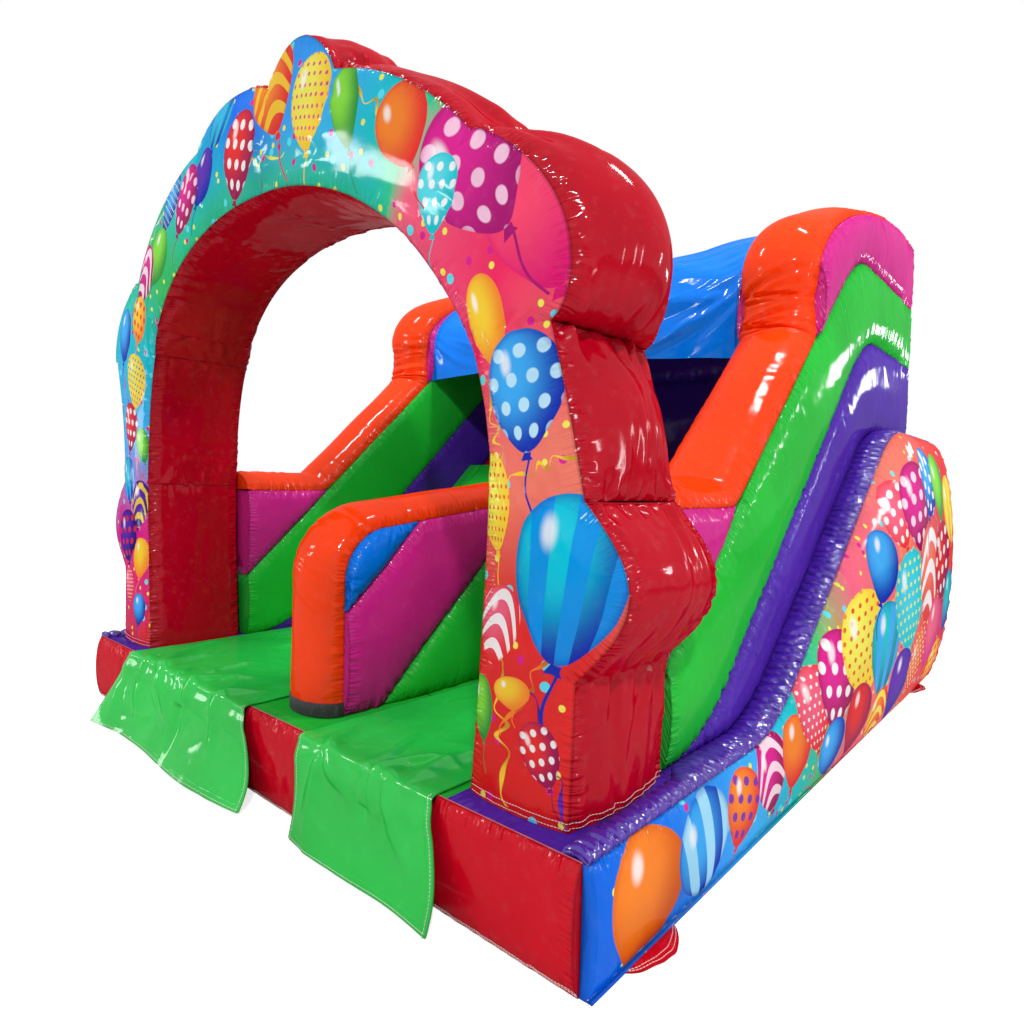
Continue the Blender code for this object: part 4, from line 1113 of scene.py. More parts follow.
def upward(path, window):
    """Unit vectors square to a side-view path, turned slowly round its corners."""
    along = smoothed(np.gradient(path, axis=0), window)
    along = unit(along)
    return np.stack([-along[:, 1], along[:, 0]], axis=1)


CAPPING_CUTS = 34


def half_round(cuts):
    """Angles over a half-round's top; its two points underneath are left out."""
    return np.pi * np.arange(cuts) / cuts


def capped_rings(path, up, x, half, crown, cuts=CAPPING_CUTS):
    """Rings of a rounded capping over a path in side view: a half-ellipse and its flat underside."""
    n = len(path)
    base = points(x, path[:, 0], path[:, 1])
    rise = np.stack([np.zeros(n), up[:, 0], up[:, 1]], axis=1)
    angles = half_round(cuts)
    across = np.array([1.0, 0.0, 0.0])
    half = per_ring(half, n)[:, None]
    arch = (base[:, None] + across * half * np.cos(angles)[None, :, None]
            + rise[:, None] * per_ring(crown, n)[:, None] * np.sin(angles)[None, :, None])
    flat = base[:, None] + across * half * np.array([-1.0, 0.0])[None, :, None]
    return np.concatenate([arch, flat], axis=1), np.array([0, cuts])


def capping_places():
    """Of a capping's columns: the place across, from 1 to -1, and whether it is on the rounded top."""
    across = np.concatenate([np.cos(half_round(CAPPING_CUTS)), [-1.0, 0.0]])[None]
    top = np.concatenate([np.ones(CAPPING_CUTS), np.zeros(2)])[None]
    return across, top


def cross_folds(run, across, centre, spread, count, depth, width, rng):
    """Folds that run across a tube where it bends inwards."""
    total = np.zeros(np.broadcast_shapes(run.shape, across.shape))
    for place in np.linspace(centre - spread, centre + spread, count):
        at = place + rng.normal(0, spread / count)
        lean = rng.normal(0, 0.16)
        bow = rng.normal(0, 0.25)
        wide = width * rng.uniform(0.6, 1.4)
        side = rng.uniform(-1, 1)
        fade = np.exp(-((across - side * 0.6) / 0.9) ** 2)
        x = (run - at - lean * across * 0.16 - bow * across ** 2 * 0.05) / wide
        total += depth * rng.uniform(0.5, 1.2) * fade * valley(x, 0.5)
    return total


def capping_path(grain):
    """The seam under a wall's capping, and the length of its part before the tower."""
    y = np.linspace(WALL_FRONT, TOWER_FRONT - 1e-6, 900)
    slope = np.stack([y, capping_z(y)], axis=1)
    y = TOWER_FRONT + (BASE_DEPTH - TOWER_FRONT) * np.linspace(0, 1, 1200) ** 2
    head = np.stack([y, capping_z(y)], axis=1)
    foot_run = np.linalg.norm(np.diff(slope, axis=0), axis=1).sum()
    return spaced(np.concatenate([slope, head]), grain), foot_run


def build_capping(sizes, word, side, seed):
    """The orange panel over a wall's top edge and round the front of its tower."""
    rng = np.random.default_rng(seed)
    path, foot_run = capping_path(sizes.grain)
    run = np.arange(len(path)) * sizes.grain
    up = upward(path, int(0.085 / sizes.grain))
    head_share = np.clip((path[:, 0] - TOWER_FRONT) / (TOWER_CREST - TOWER_FRONT), 0, 1)
    crown = CAPPING_CROWN + (TOWER_TOP_CROWN - CAPPING_CROWN) * np.minimum(head_share * 2, 1.0)
    neck = np.exp(-((run - foot_run - 0.15) / 0.075) ** 2)
    brow = np.exp(-((run - foot_run - 0.42) / 0.16) ** 2)
    crown = crown - 0.020 * neck + 0.026 * brow
    half = WALL_THICKNESS / 2
    rings, starts = capped_rings(path, up, side * (WALL_INNER + half), half - 0.012 * neck + 0.006 * brow,
                                 crown)
    across, top = capping_places()
    folds = cross_folds(run[:, None], across, foot_run + 0.10, 0.13, 9, 0.012, 0.011, rng) * top
    folds += cross_folds(run[:, None], across, 0.10, 0.12, 5, 0.006, 0.012, rng) * top
    skin(f"{word}_wall_orange_capping", rings, starts, [ORANGE, ORANGE],
         [pucker(sizes, 0.9, 1.0, 1.0, 0.9), None], seed,
         ends=(pucker(sizes, 1.0, 1.2, 1.2, 1.2), pucker(sizes)), groove=(0.006, 0.006), dome=(0.0, 0.006),
         flat_sides=(1,), swell=0.005, extra=folds)


def build_walls(sizes):
    rear = BASE_DEPTH
    bands = (("purple_tube", ledge_z, purple_z, WALL_FRONT, rear, PURPLE),
             ("green_tube", purple_z, green_z, WALL_FRONT, rear, GREEN),
             ("front_pink", green_z, capping_z, WALL_FRONT, TOWER_FRONT - SEAM_GAP, PINK),
             ("tower_pink", green_z, capping_z, TOWER_FRONT, rear, PINK))
    for side, word in ((-1, "left"), (1, "right")):
        seed = 20 if side > 0 else 40
        for i, band in enumerate(bands):
            build_band(sizes, word, side, *band, seed + i)
        build_capping(sizes, word, side, seed + len(bands))


# Base, printed sides and pleated ledges

BEAM_SKIN_HALF = HALF_WIDTH - 0.014
# Height over the ground below which the base's fabric is pressed flat
SETTLED_HEIGHT = 0.06


def shape_tree(name, source, numbers, material, result):
    """A geometry node group with named inputs, its wiring and the inputs' sockets."""
    tree = bpy.data.node_groups.new(name, "GeometryNodeTree")
    face = tree.interface
    face.new_socket(source, in_out="INPUT", socket_type="NodeSocketGeometry")
    for title, value in numbers:
        face.new_socket(title, in_out="INPUT", socket_type="NodeSocketFloat").default_value = value
    face.new_socket(material, in_out="INPUT", socket_type="NodeSocketMaterial")
    face.new_socket(result, in_out="OUTPUT", socket_type="NodeSocketGeometry")
    w = Wiring(tree)
    return tree, w, w.node("NodeGroupInput").outputs


def close_tree(w, shape, material, result):
    """Ends a geometry node group: its instances made real, with their material."""
    plain = w.node("GeometryNodeRealizeInstances", Geometry=shape).outputs[0]
    painted = w.node("GeometryNodeSetMaterial", Geometry=plain, Material=material).outputs[0]
    w.node("NodeGroupOutput", **{result: painted})


def even_points(w, line, pitch):
    """Points at one pitch along the edges of a mesh."""
    curve = w.node("GeometryNodeMeshToCurve", Mesh=line).outputs[0]
    return w.node("GeometryNodeResampleCurve", {"mode": "LENGTH"}, Curve=curve, Length=pitch).outputs[0]


def pleat_tree():
    """Geometry nodes that press pleats into a trim, square to its length."""
    numbers = (("Pitch", 0.036), ("Depth", 0.006), ("Unevenness", 1.4))
    tree, w, given = shape_tree("pressed_pleats", "Trim", numbers, "Fabric", "Pleated trim")
    length, edge = (w.node("GeometryNodeInputNamedAttribute", {"data_type": "FLOAT"}, Name=name).outputs[0]
                    for name in ("run", "near"))
    spot = w.node("GeometryNodeInputPosition").outputs[0]
    uneven = w.times(w.minus(w.noise(spot, 9.0, 1.0), 0.5), given["Unevenness"])
    turns = w.plus(w.math("DIVIDE", length, given["Pitch"]), uneven)
    fold = w.math("POWER", w.math("ABSOLUTE", w.math("SINE", w.times(turns, math.pi))), 0.6)
    press = w.times(w.minus(fold, 0.75), given["Depth"])
    push = w.times(press, w.ease(edge, 0.0, 0.010))
    outward = w.node("GeometryNodeInputNormal").outputs[0]
    offset = w.node("ShaderNodeVectorMath", {"operation": "SCALE"}, Vector=outward, Scale=push).outputs[0]
    moved = w.node("GeometryNodeSetPosition", Geometry=given["Trim"], Offset=offset).outputs[0]
    close_tree(w, moved, given["Fabric"], "Pleated trim")
    return tree


def run_nodes(carrier, tree, values):
    """The plain mesh that a geometry node tree makes of a carrier, whose modifier is then removed."""
    modifier = carrier.modifiers.new("made", "NODES")
    modifier.node_group = tree
    for item in tree.interface.items_tree:
        if item.item_type == "SOCKET" and item.in_out == "INPUT" and item.name in values:
            modifier[item.identifier] = values[item.name]
    mesh = evaluated_mesh(carrier)
    carrier.modifiers.remove(modifier)
    if not len(mesh.vertices):
        raise RuntimeError(f"{tree.name} made no mesh of {carrier.name}")
    return mesh


def build_ledge(sizes, word, side, tree, seed):
    """The pleated violet trim between a wall's foot and the printed side."""
    y = stations(ledge_z, 0.0, BASE_DEPTH, 0.0045)
    inner = WALL_OUTER + LEDGE_INSET + 0.042 * (1 - smoothstep((y - 0.50) / 0.10))
    half = (HALF_WIDTH - inner) / 2
    path = np.stack([y, ledge_z(y) + SEAM_GAP / 2], axis=1)
    up = upward(path, 20)
    puff = LEDGE_RISE + 0.010 * (1 - smoothstep((y - 0.9) / 0.6))
    rings, starts = capped_rings(path, up, 0.0, half, puff, 16)
    rings[..., 0] += side * ((HALF_WIDTH + inner) / 2)[:, None]
    made = skin(f"{word}_pleated_ledge", rings, starts, [PURPLE, PURPLE], [None, None], seed,
                flat_sides=(1,), swell=0.002, body=None)
    fabric = vinyl("ledge", 0.07, coat=0.5, colour=set_colour("purple"))
    pleats = {"Pitch": sizes.pleat_pitch, "Depth": sizes.pleat_depth, "Unevenness": 1.7, "Fabric": fabric}
    made.data = run_nodes(made, tree, pleats)
    shade(made.data)
    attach(made, MAIN_BODY)


def build_side(sizes, word, side, seed):
    """The raised side of the base with its printed outer face, from the beam's end to the rear."""
    y = stations(ledge_z, 0.0, BASE_DEPTH, sizes.grain)
    z = ledge_z(y) - SEAM_GAP / 2
    inner = np.where(y < WALL_FRONT, BEAM_SKIN_HALF + SEAM_GAP, WALL_INNER)
    half = z / 2
    rings, starts = four_sides(points(side * inner, y, half), points(side * HALF_WIDTH, y, half), (0, 0, 1),
                               (half, half), (0, z * SIDE_CROWN_RATIO, 0, 0), (2, 60, 2, 2))
    made = skin(f"{word}_base_side", rings, starts, [PURPLE, PRINT, RED, RED],
                [None, pucker(sizes, 0.9, 1.1, 0.9, 0.8), None, None], seed,
                ends=(None, pucker(sizes, 1.2, 1.4, 1.4, 1.3)), groove=(0.0, 0.008), dome=(0.008, 0.02),
                cap=RED, flat_sides=(0, 2, 3), swell=0.004, settled=SETTLED_HEIGHT, trimmed=False)
    for face in made.data.polygons:
        behind = face.center.y + BASE_DEPTH / 2
        if behind < 0.0:
            face.material_index = PRINT
        if face.material_index == PRINT:
            face.material_index += sum(behind > edge for edge in SIDE_STRETCHES[1:-1])
    for part in range(len(SIDE_STRETCHES) - 1):
        made.data.materials[PRINT + part] = side_print(part)
    trim_slots(made)


def build_base(sizes):
    half = BEAM_HEIGHT / 2
    x = between(-BEAM_SKIN_HALF, BEAM_SKIN_HALF, sizes.grain)
    rings, starts = four_sides(points(x, 0.0, half), points(x, BEAM_DEPTH, half), (0, 0, 1), (half, half),
                               (0, 0, 0, BEAM_CROWN), (10, 2, 2, 34))
    made = skin("front_base_beam", rings, starts, [PURPLE, RED, RED, RED],
                [None, None, None, pucker(sizes, 0.9, 1.3, 1.3, 1.0)], 61,
                ends=(pucker(sizes), pucker(sizes)), flat_sides=(0, 1, 2), swell=0.005, cap=RED,
                settled=SETTLED_HEIGHT, trimmed=False)
    for face in made.data.polygons:
        if face.material_index == PURPLE and abs(face.center.x) < ARCH_INNER - 0.02:
            face.material_index = GREEN
    trim_slots(made)
    tree = pleat_tree()
    for side, word in ((-1, "left"), (1, "right")):
        build_side(sizes, word, side, 70 + side)
        build_ledge(sizes, word, side, tree, 80 + side)


# Deck, slide bed, platform and climbing steps

def profile_rings(corners, cuts, x):
    """Rings with straight sides through corners in side view, one ring for each x."""
    outline = []
    for (y0, z0), (y1, z1), count in zip(corners, corners[1:] + corners[:1], cuts):
        share = np.arange(count) / count
        outline.append(np.stack([y0 + (y1 - y0) * share, z0 + (z1 - z0) * share], axis=1))
    outline = np.concatenate(outline)
    rings = points(x[:, None], outline[None, :, 0], outline[None, :, 1])
    return rings, np.cumsum([0, *cuts[:-1]])


CHANNEL_WIDTH = 0.012
TUBE_CUTS = 30


def build_floor(sizes, node, corners, cuts, x, channel, seed):
    """A sewn floor panel between corners in side view, with channels in its top."""
    rings, starts = profile_rings(corners, (cuts, 2, 2, 2), x)
    sewn = channel(rings)
    sewn[:, cuts:] = 0.0
    skin(node, rings, starts, [GREEN] * 4, [pucker(sizes, 1.2, 1, 0.6, 1), None, None, None], seed,
         flat_sides=(0, 1, 2, 3), swell=0.0, extra=sewn)


def build_lanes(sizes):
    def deck_channel(rings):
        return -0.006 * np.exp(-((np.mod(rings[..., 1] + 0.08, 0.15) - 0.075) / CHANNEL_WIDTH) ** 2)

    def slide_channel(rings):
        lanes = np.abs(np.mod(x + 1.05, 0.23) - 0.115)
        sewn = -0.010 * np.exp(-(lanes / CHANNEL_WIDTH) ** 2) * (x < DIVIDER_X)
        return np.repeat(sewn[:, None], rings.shape[1], axis=1)

    x = between(-LANE_HALF, LANE_HALF, sizes.grain * 1.4)
    back = SLOPE_FOOT - SEAM_GAP
    corners = [(WALL_FRONT, BEAM_HEIGHT), (back, BEAM_HEIGHT), (back, 0.0), (WALL_FRONT, 0.0)]
    build_floor(sizes, "lane_deck", corners, 40, x, deck_channel, 91)
    corners = [(SLOPE_FOOT, BEAM_HEIGHT), (PLATFORM_FRONT, PLATFORM_HEIGHT), (PLATFORM_FRONT, 0.0),
               (SLOPE_FOOT, 0.0)]
    build_floor(sizes, "slide_bed", corners, 90, x, slide_channel, 92)
    half = PLATFORM_HEIGHT / 2
    rings, starts = four_sides(points(x, PLATFORM_FRONT + SEAM_GAP, half), points(x, BASE_DEPTH, half),
                               (0, 0, 1), (half, half), (0, REAR_CROWN, 0, 0), (50, 70, 2, 2))
    rear = pucker(sizes, 1.0, 1.2, 1.1, 1.0)
    skin("platform", rings, starts, [PURPLE] * 4, [None, rear, None, None], 93,
         ends=(pucker(sizes), pucker(sizes)), flat_sides=(0, 2, 3), swell=0.004, settled=SETTLED_HEIGHT)
    build_steps(sizes)


def build_steps(sizes):
    """Half-round tubes across the climbing lane."""
    run = np.array([PLATFORM_FRONT - SLOPE_FOOT, PLATFORM_HEIGHT - BEAM_HEIGHT])
    length = float(np.linalg.norm(run))
    along = run / length
    up = np.array([-along[1], along[0]])
    left = DIVIDER_X + DIVIDER_THICKNESS / 2 + TUBE_CROWN + SEAM_GAP
    x = between(left, LANE_HALF, sizes.grain)
    angles = half_round(TUBE_CUTS)
    for i in range(STEP_COUNT):
        middle = length * (i + 0.5) / STEP_COUNT
        reach = np.concatenate([middle - STEP_RADIUS * np.cos(angles), [middle + STEP_RADIUS, middle]])
        lift = np.concatenate([SEAM_GAP + STEP_RADIUS * np.sin(angles), [SEAM_GAP, SEAM_GAP]])
        y = SLOPE_FOOT + along[0] * reach + up[0] * lift
        z = BEAM_HEIGHT + along[1] * reach + up[1] * lift
        rings = points(x[:, None], y[None], z[None])
        fabric = (PURPLE, GREEN)[i % 2]
        skin(f"climbing_step_{i + 1}", rings, np.array([0, TUBE_CUTS]), [fabric, fabric],
             [pucker(sizes, 0.9, 1, 0.9, 0.7), None], 95 + i,
             ends=(pucker(sizes), pucker(sizes)), groove=(0.010, 0.010), flat_sides=(1,), swell=0.004)


def build_rear_wall(sizes):
    half = REAR_WALL_DEPTH / 2
    y = BASE_DEPTH - half
    x = between(-LANE_HALF, LANE_HALF, sizes.grain)
    spec = pucker(sizes)
    bands = (("rear_wall_purple", PLATFORM_HEIGHT, PURPLE_HEIGHT, PURPLE),
             ("rear_wall_green", PURPLE_HEIGHT, GREEN_HEIGHT, GREEN),
             ("rear_wall_pink", GREEN_HEIGHT, REAR_WALL_TOP, PINK))
    for i, (node, low, high, fabric) in enumerate(bands):
        rings, starts = four_sides(points(x, y, low + SEAM_GAP / 2), points(x, y, high - SEAM_GAP / 2),
                                   (0, 1, 0), (half, half), (TUBE_CROWN, 0, TUBE_CROWN, 0), (32, 2, 32, 2))
        skin(node, rings, starts, [fabric, fabric, PURPLE, fabric], [spec, None, spec, None],
             110 + i, ends=(spec, spec), groove=(0.006, 0.006), flat_sides=(1, 3))
    angles = half_round(TUBE_CUTS)
    across = np.concatenate([y - half * np.cos(angles), [y + half, y]])
    foot = REAR_WALL_TOP + SEAM_GAP
    lift = np.concatenate([foot + REAR_CAPPING * np.sin(angles), [foot] * 2])
    skin("rear_wall_orange_capping", points(x[:, None], across[None], lift[None]), np.array([0, TUBE_CUTS]),
         [ORANGE, ORANGE], [pucker(sizes, 0.9), None], 114, ends=(spec, spec),
         groove=(0.006, 0.006), flat_sides=(1,))


# Divider

def divider_top(y):
    y = np.asarray(y, float)
    share = np.clip((y - DIVIDER_FRONT) / (SLOPE_FOOT - DIVIDER_FRONT), 0, 1)
    inset = np.clip(DIVIDER_FRONT + DIVIDER_CORNER - y, 0, DIVIDER_CORNER)
    corner = np.sqrt(DIVIDER_CORNER ** 2 - inset ** 2)
    return DIVIDER_HEIGHT + DIVIDER_RISE * share - DIVIDER_CORNER + corner


def divider_end():
    slope = (PLATFORM_HEIGHT - BEAM_HEIGHT) / (PLATFORM_FRONT - SLOPE_FOOT)
    return SLOPE_FOOT + (DIVIDER_HEIGHT + DIVIDER_RISE - BEAM_HEIGHT) / slope - DIVIDER_TAIL


def build_divider(sizes):
    def pink_foot(y):
        return BEAM_HEIGHT + (y - DIVIDER_PINK_FOOT) * DIVIDER_BAND_SLOPE

    def blue_foot(y):
        return DIVIDER_BLUE_LOW + (y - DIVIDER_FRONT) * DIVIDER_BAND_SLOPE

    half = DIVIDER_THICKNESS / 2
    end = divider_end()
    bands = (("divider_blue_panel", blue_foot, divider_top, BLUE),
             ("divider_pink_panel", pink_foot, blue_foot, PINK),
             ("divider_green_panel", lane_floor, pink_foot, GREEN))
    for i, (node, low, high, fabric) in enumerate(bands):
        y = stations(divider_top, DIVIDER_FRONT, end, sizes.grain * 0.8)
        bottom = np.maximum(low(y), lane_floor(y)) + SEAM_GAP / 2
        top = np.minimum(high(y), divider_top(y)) - SEAM_GAP / 2
        kept = top - bottom > THINNEST_BAND
        y, bottom, top = y[kept], bottom[kept], top[kept]
        crown = np.minimum(TUBE_CROWN, (top - bottom) / 4)
        rings, starts = four_sides(points(DIVIDER_X, y, bottom), points(DIVIDER_X, y, top), (1, 0, 0),
                                   (half, half), (crown, 0, crown, 0), (34, 2, 34, 2))
        spec = pucker(sizes, 1.0, 0.9, 0.8, 0.8)
        skin(node, rings, starts, [fabric] * 4, [spec, None, spec, None], 120 + i,
             ends=(spec, None), groove=(0.006, 0.0), flat_sides=(1, 3))
    z = np.linspace(BEAM_HEIGHT + SEAM_GAP, float(divider_top(DIVIDER_FRONT)), 200)
    nose = np.stack([np.full_like(z, DIVIDER_FRONT), z], axis=1)
    y = DIVIDER_FRONT + (end - DIVIDER_FRONT) * np.linspace(0, 1, 1500) ** 1.6
    path = spaced(np.concatenate([nose, np.stack([y, divider_top(y)], axis=1)]), sizes.grain * 0.8)
    up = upward(path, int(0.04 / sizes.grain))
    up[0] = (-1.0, 0.0)
    rings, starts = capped_rings(path, up, DIVIDER_X, half, DIVIDER_CAPPING)
    rng = np.random.default_rng(125)
    run = np.arange(len(path)) * sizes.grain * 0.8
    across, top = capping_places()
    folds = cross_folds(run[:, None], across, 0.56, 0.10, 5, 0.004, 0.010, rng) * top
    skin("divider_orange_capping", rings, starts, [ORANGE, ORANGE], [pucker(sizes, 0.8, 0.9, 0.9, 0.8), None],
         126, ends=(pucker(sizes, 0.8), None), groove=(0.004, 0.0), flat_sides=(1,), swell=0.004,
         extra=folds)


# Arch

def arch_front(z):
    share = np.clip((z - ARCH_BOW_FROM) / (ARCH_OUTER_TOP - ARCH_BOW_FROM), 0, 1)
    return ARCH_SETBACK - ARCH_BOW * share * share * (3 - 2 * share)


def arch_curve(angle, half_width, top):
    power = 2 / ARCH_SQUARENESS
    x = half_width * np.clip(np.cos(angle), 0, None) ** power
    return x, ARCH_SPRING + (top - ARCH_SPRING) * np.sin(angle) ** power


def ball(share):
    return np.sin(np.pi * np.clip(share, 0, 1))


def opening_edge(angle, height):
    x, z = arch_curve(angle, ARCH_INNER, ARCH_INNER_TOP)
    z = np.minimum(z, height)
    return x + ARCH_FLARE * ball((z - BEAM_HEIGHT) / (ARCH_INNER_TOP - BEAM_HEIGHT)), z


def inner_angle(z):
    share = np.clip((z - ARCH_SPRING) / (ARCH_INNER_TOP - ARCH_SPRING), 0, 1)
    return np.arcsin(share ** (ARCH_SQUARENESS / 2))


# Cuts of the arch's front, outside, rear and opening; depth and width of the groove at a neck
ARCH_CUTS = (36, 46, 30, 40)
NECK_GROOVE = 0.006
NECK_WIDTH = 0.040


def build_chamber(sizes, node, inner, outer, seed, swell=0.0, back=0.0, necks=(1.0, 1.0), round_out=0.0,
                  pinch=None):
    """One chamber of the arch between its two seams, with the print on its front."""
    front = arch_front((inner[1] + outer[1]) / 2) + ARCH_THICKNESS / 2
    half = ARCH_THICKNESS / 2
    crowns = (ARCH_FRONT_CROWN, ARCH_CROWN + swell + round_out, ARCH_CROWN + swell / 2 + back, ARCH_CROWN)
    rings, starts = four_sides(points(inner[0], front, inner[1]), points(outer[0], front, outer[1]),
                               (0, -1, 0), (half, half), crowns, ARCH_CUTS, arc=True)
    n, m = rings.shape[:2]
    rng = np.random.default_rng(seed + 500)
    columns = np.arange(m)
    printed = columns < ARCH_CUTS[0]
    outside = (columns > ARCH_CUTS[0]) & (columns < ARCH_CUTS[0] + ARCH_CUTS[1])
    weight = np.where(printed, 0.02, np.where(outside, 1.0, 0.12))[None]
    extra = np.zeros((n, m))
    seams = [(0, necks[0]), (n - 1, necks[1])]
    if pinch:
        seams.append((int(np.argmin(np.abs(inner[1] - pinch))), 0.9))
    for row, strength in seams:
        if not strength:
            continue
        apart = np.linalg.norm(rings - rings[row][None], axis=2)
        around = np.repeat(running(rings[row])[None], n, axis=0)
        extra -= NECK_GROOVE * strength * np.exp(-apart / NECK_WIDTH) * weight
        creases = gathers(around.T, apart.T, pucker(sizes, 1.3, 1.5, 3.6 * strength, 2.8), rng).T
        extra += creases * np.maximum(weight, 0.2) * np.minimum(apart / 0.01, 1.0)
    rim = pucker(sizes, 0.9, 0.9, 0.9, 0.75)
    made = skin(node, rings, starts, [PRINT, CRIMSON, CRIMSON, CRIMSON],
                [pucker(sizes, 1.3, 0.9, 0.45, 0.6), pucker(sizes, 1.0, 1.0, 1.1, 0.8), rim,
                 pucker(sizes, 0.9, 1.0, 0.9, 0.9)],
                seed, swell=0.006, extra=extra, cap=CRIMSON, trimmed=False)
    face = rings[:, :ARCH_CUTS[0]].reshape(-1, 3)
    made.data.materials[PRINT] = arch_print(node, face[:, (0, 2)].min(0), face[:, (0, 2)].max(0))
    trim_slots(made)


def build_arch_side(sizes, side, word, neck_share, pinch, bulge):
    foot_x = ARCH_INNER + ARCH_LEG
    shoulder_z = float(arch_curve(math.radians(SHOULDER_ANGLE), ARCH_INNER, ARCH_INNER_TOP)[1])
    neck_height = LEG_TOP + (shoulder_z - LEG_TOP) * neck_share
    grain = sizes.grain * 0.85
    seed = 200 if side < 0 else 220
    z = np.linspace(BEAM_HEIGHT + SEAM_GAP, LEG_TOP, int((LEG_TOP - BEAM_HEIGHT) / grain))
    swell = ball((z - LEG_BALL_LOW) / (LEG_TOP - LEG_BALL_LOW))
    outer = foot_x + LEG_SPREAD * (z - BEAM_HEIGHT) / (LEG_TOP - BEAM_HEIGHT) + LEG_BALL_REACH * swell
    inner = opening_edge(0.0, z)
    build_chamber(sizes, f"arch_{word}_leg", (side * inner[0], inner[1]), (side * outer, z), seed,
                  back=0.03 * swell, necks=(0.4, 1.0), pinch=LEG_BALL_LOW)
    z = np.linspace(LEG_TOP, neck_height, int((neck_height - LEG_TOP) / grain))
    share = (z - LEG_TOP) / (neck_height - LEG_TOP)
    inner = opening_edge(inner_angle(z), z)
    top_x = foot_x + LEG_SPREAD
    waists = np.exp(-share / 0.10) + np.exp(-(1 - share) / 0.10)
    build_chamber(sizes, f"arch_{word}_column", (side * inner[0], inner[1]),
                  (side * (top_x - (LEG_SPREAD + pinch) * share), z), seed + 1, back=0.012 * ball(share),
                  round_out=0.050 * ball(share) - 0.012 * waists)
    neck = np.array([foot_x - pinch, neck_height])
    end = np.array(arch_curve(math.radians(SHOULDER_ANGLE), ARCH_INNER + ARCH_LEG, ARCH_OUTER_TOP), float)
    out = np.array([end[1] - neck[1], neck[0] - end[0]])
    out /= np.linalg.norm(out)
    share = np.linspace(0, 1, int(1.35 * np.linalg.norm(end - neck) / grain))
    angle = inner_angle(neck[1]) + (math.radians(SHOULDER_ANGLE) - inner_angle(neck[1])) * share
    swell = ball(share ** BALL_DROP) ** BALL_FULLNESS
    inner = opening_edge(angle, ARCH_OUTER_TOP)
    outer = neck + (end - neck) * share[:, None] + out * bulge * swell[:, None]
    build_chamber(sizes, f"arch_{word}_shoulder", (side * inner[0], inner[1]),
                  (side * outer[:, 0], outer[:, 1]), seed + 2, swell=BALL_SWELL * swell)


def build_arch(sizes):
    build_arch_side(sizes, -1, "left", 0.843, -0.02, 0.09)
    build_arch_side(sizes, 1, "right", 0.61, 0.08, 0.138)
    names = ("arch_crown_right", "arch_orange_lobe", "arch_blue_lobe", "arch_crown_left")
    edges = [math.radians(edge) for edge in CROWN_SEAM_ANGLES]
    for i, (node, rise, start, end) in enumerate(zip(names, CROWN_RISES, edges, edges[1:])):
        angle = np.linspace(start, end, max(int((end - start) * (ARCH_INNER + ARCH_LEG) / sizes.grain), 24))
        folded = np.minimum(angle, math.pi - angle)
        side = np.where(angle <= math.pi / 2, 1.0, -1.0)
        swell = ball((angle - angle[0]) / (angle[-1] - angle[0])) ** BALL_FULLNESS
        inner = opening_edge(folded, ARCH_OUTER_TOP)
        outer = arch_curve(folded, ARCH_INNER + ARCH_LEG, 1.0)
        above_spring = ARCH_OUTER_TOP + rise * swell - ARCH_SPRING
        outer_z = ARCH_SPRING + above_spring * np.sin(folded) ** (2 / ARCH_SQUARENESS)
        build_chamber(sizes, node, (side * inner[0], inner[1]), (side * outer[0], outer_z), 240 + i,
                      swell=CROWN_SWELL)


# Sheets

CANOPY_STATIONS = (0.03, 0.1, 0.2, 0.35, 0.6, 1.0)
# The furthest that cloth simulation moves a point, and its frames
SHEET_CAP = 0.022
CANOPY_FRAMES = 16
APRON_FRAMES = 14


def sheet_mesh(name, grid, uv):
    """An open sheet from a grid of points, with its flat coordinates."""
    n, m = grid.shape[:2]
    index = np.arange(n * m).reshape(n, m)
    quads = np.stack([index[:-1, :-1], index[:-1, 1:], index[1:, 1:], index[1:, :-1]], axis=-1).reshape(-1, 4)
    mesh = new_mesh(name, grid, quads.tolist(), uv)
    mesh.shade_smooth()
    return mesh


def read_points(mesh):
    flat = np.empty(len(mesh.vertices) * 3)
    mesh.vertices.foreach_get("co", flat)
    return flat.reshape(-1, 3)


def collider(name, low, high):
    """A box that a sheet falls on while it settles."""
    bm = bmesh.new()
    size = [high[i] - low[i] for i in range(3)]
    middle = [(high[i] + low[i]) / 2 for i in range(3)]
    bmesh.ops.create_cube(bm, size=1.0, matrix=Matrix.Translation(middle) @ Matrix.Diagonal((*size, 1.0)))
    mesh = bpy.data.meshes.new(name)
    bm.to_mesh(mesh)
    bm.free()
    made = put(name, mesh)
    made.modifiers.new("solid", "COLLISION")
    made.collision.thickness_outer = 0.002
    return made


def settle(made, held, proxies, frames):
    """Lets a sheet settle on the proxies; no point moves further than SHEET_CAP."""
    let_fall(made, held, frames)
    for proxy in proxies:
        bpy.data.objects.remove(proxy, do_unlink=True)


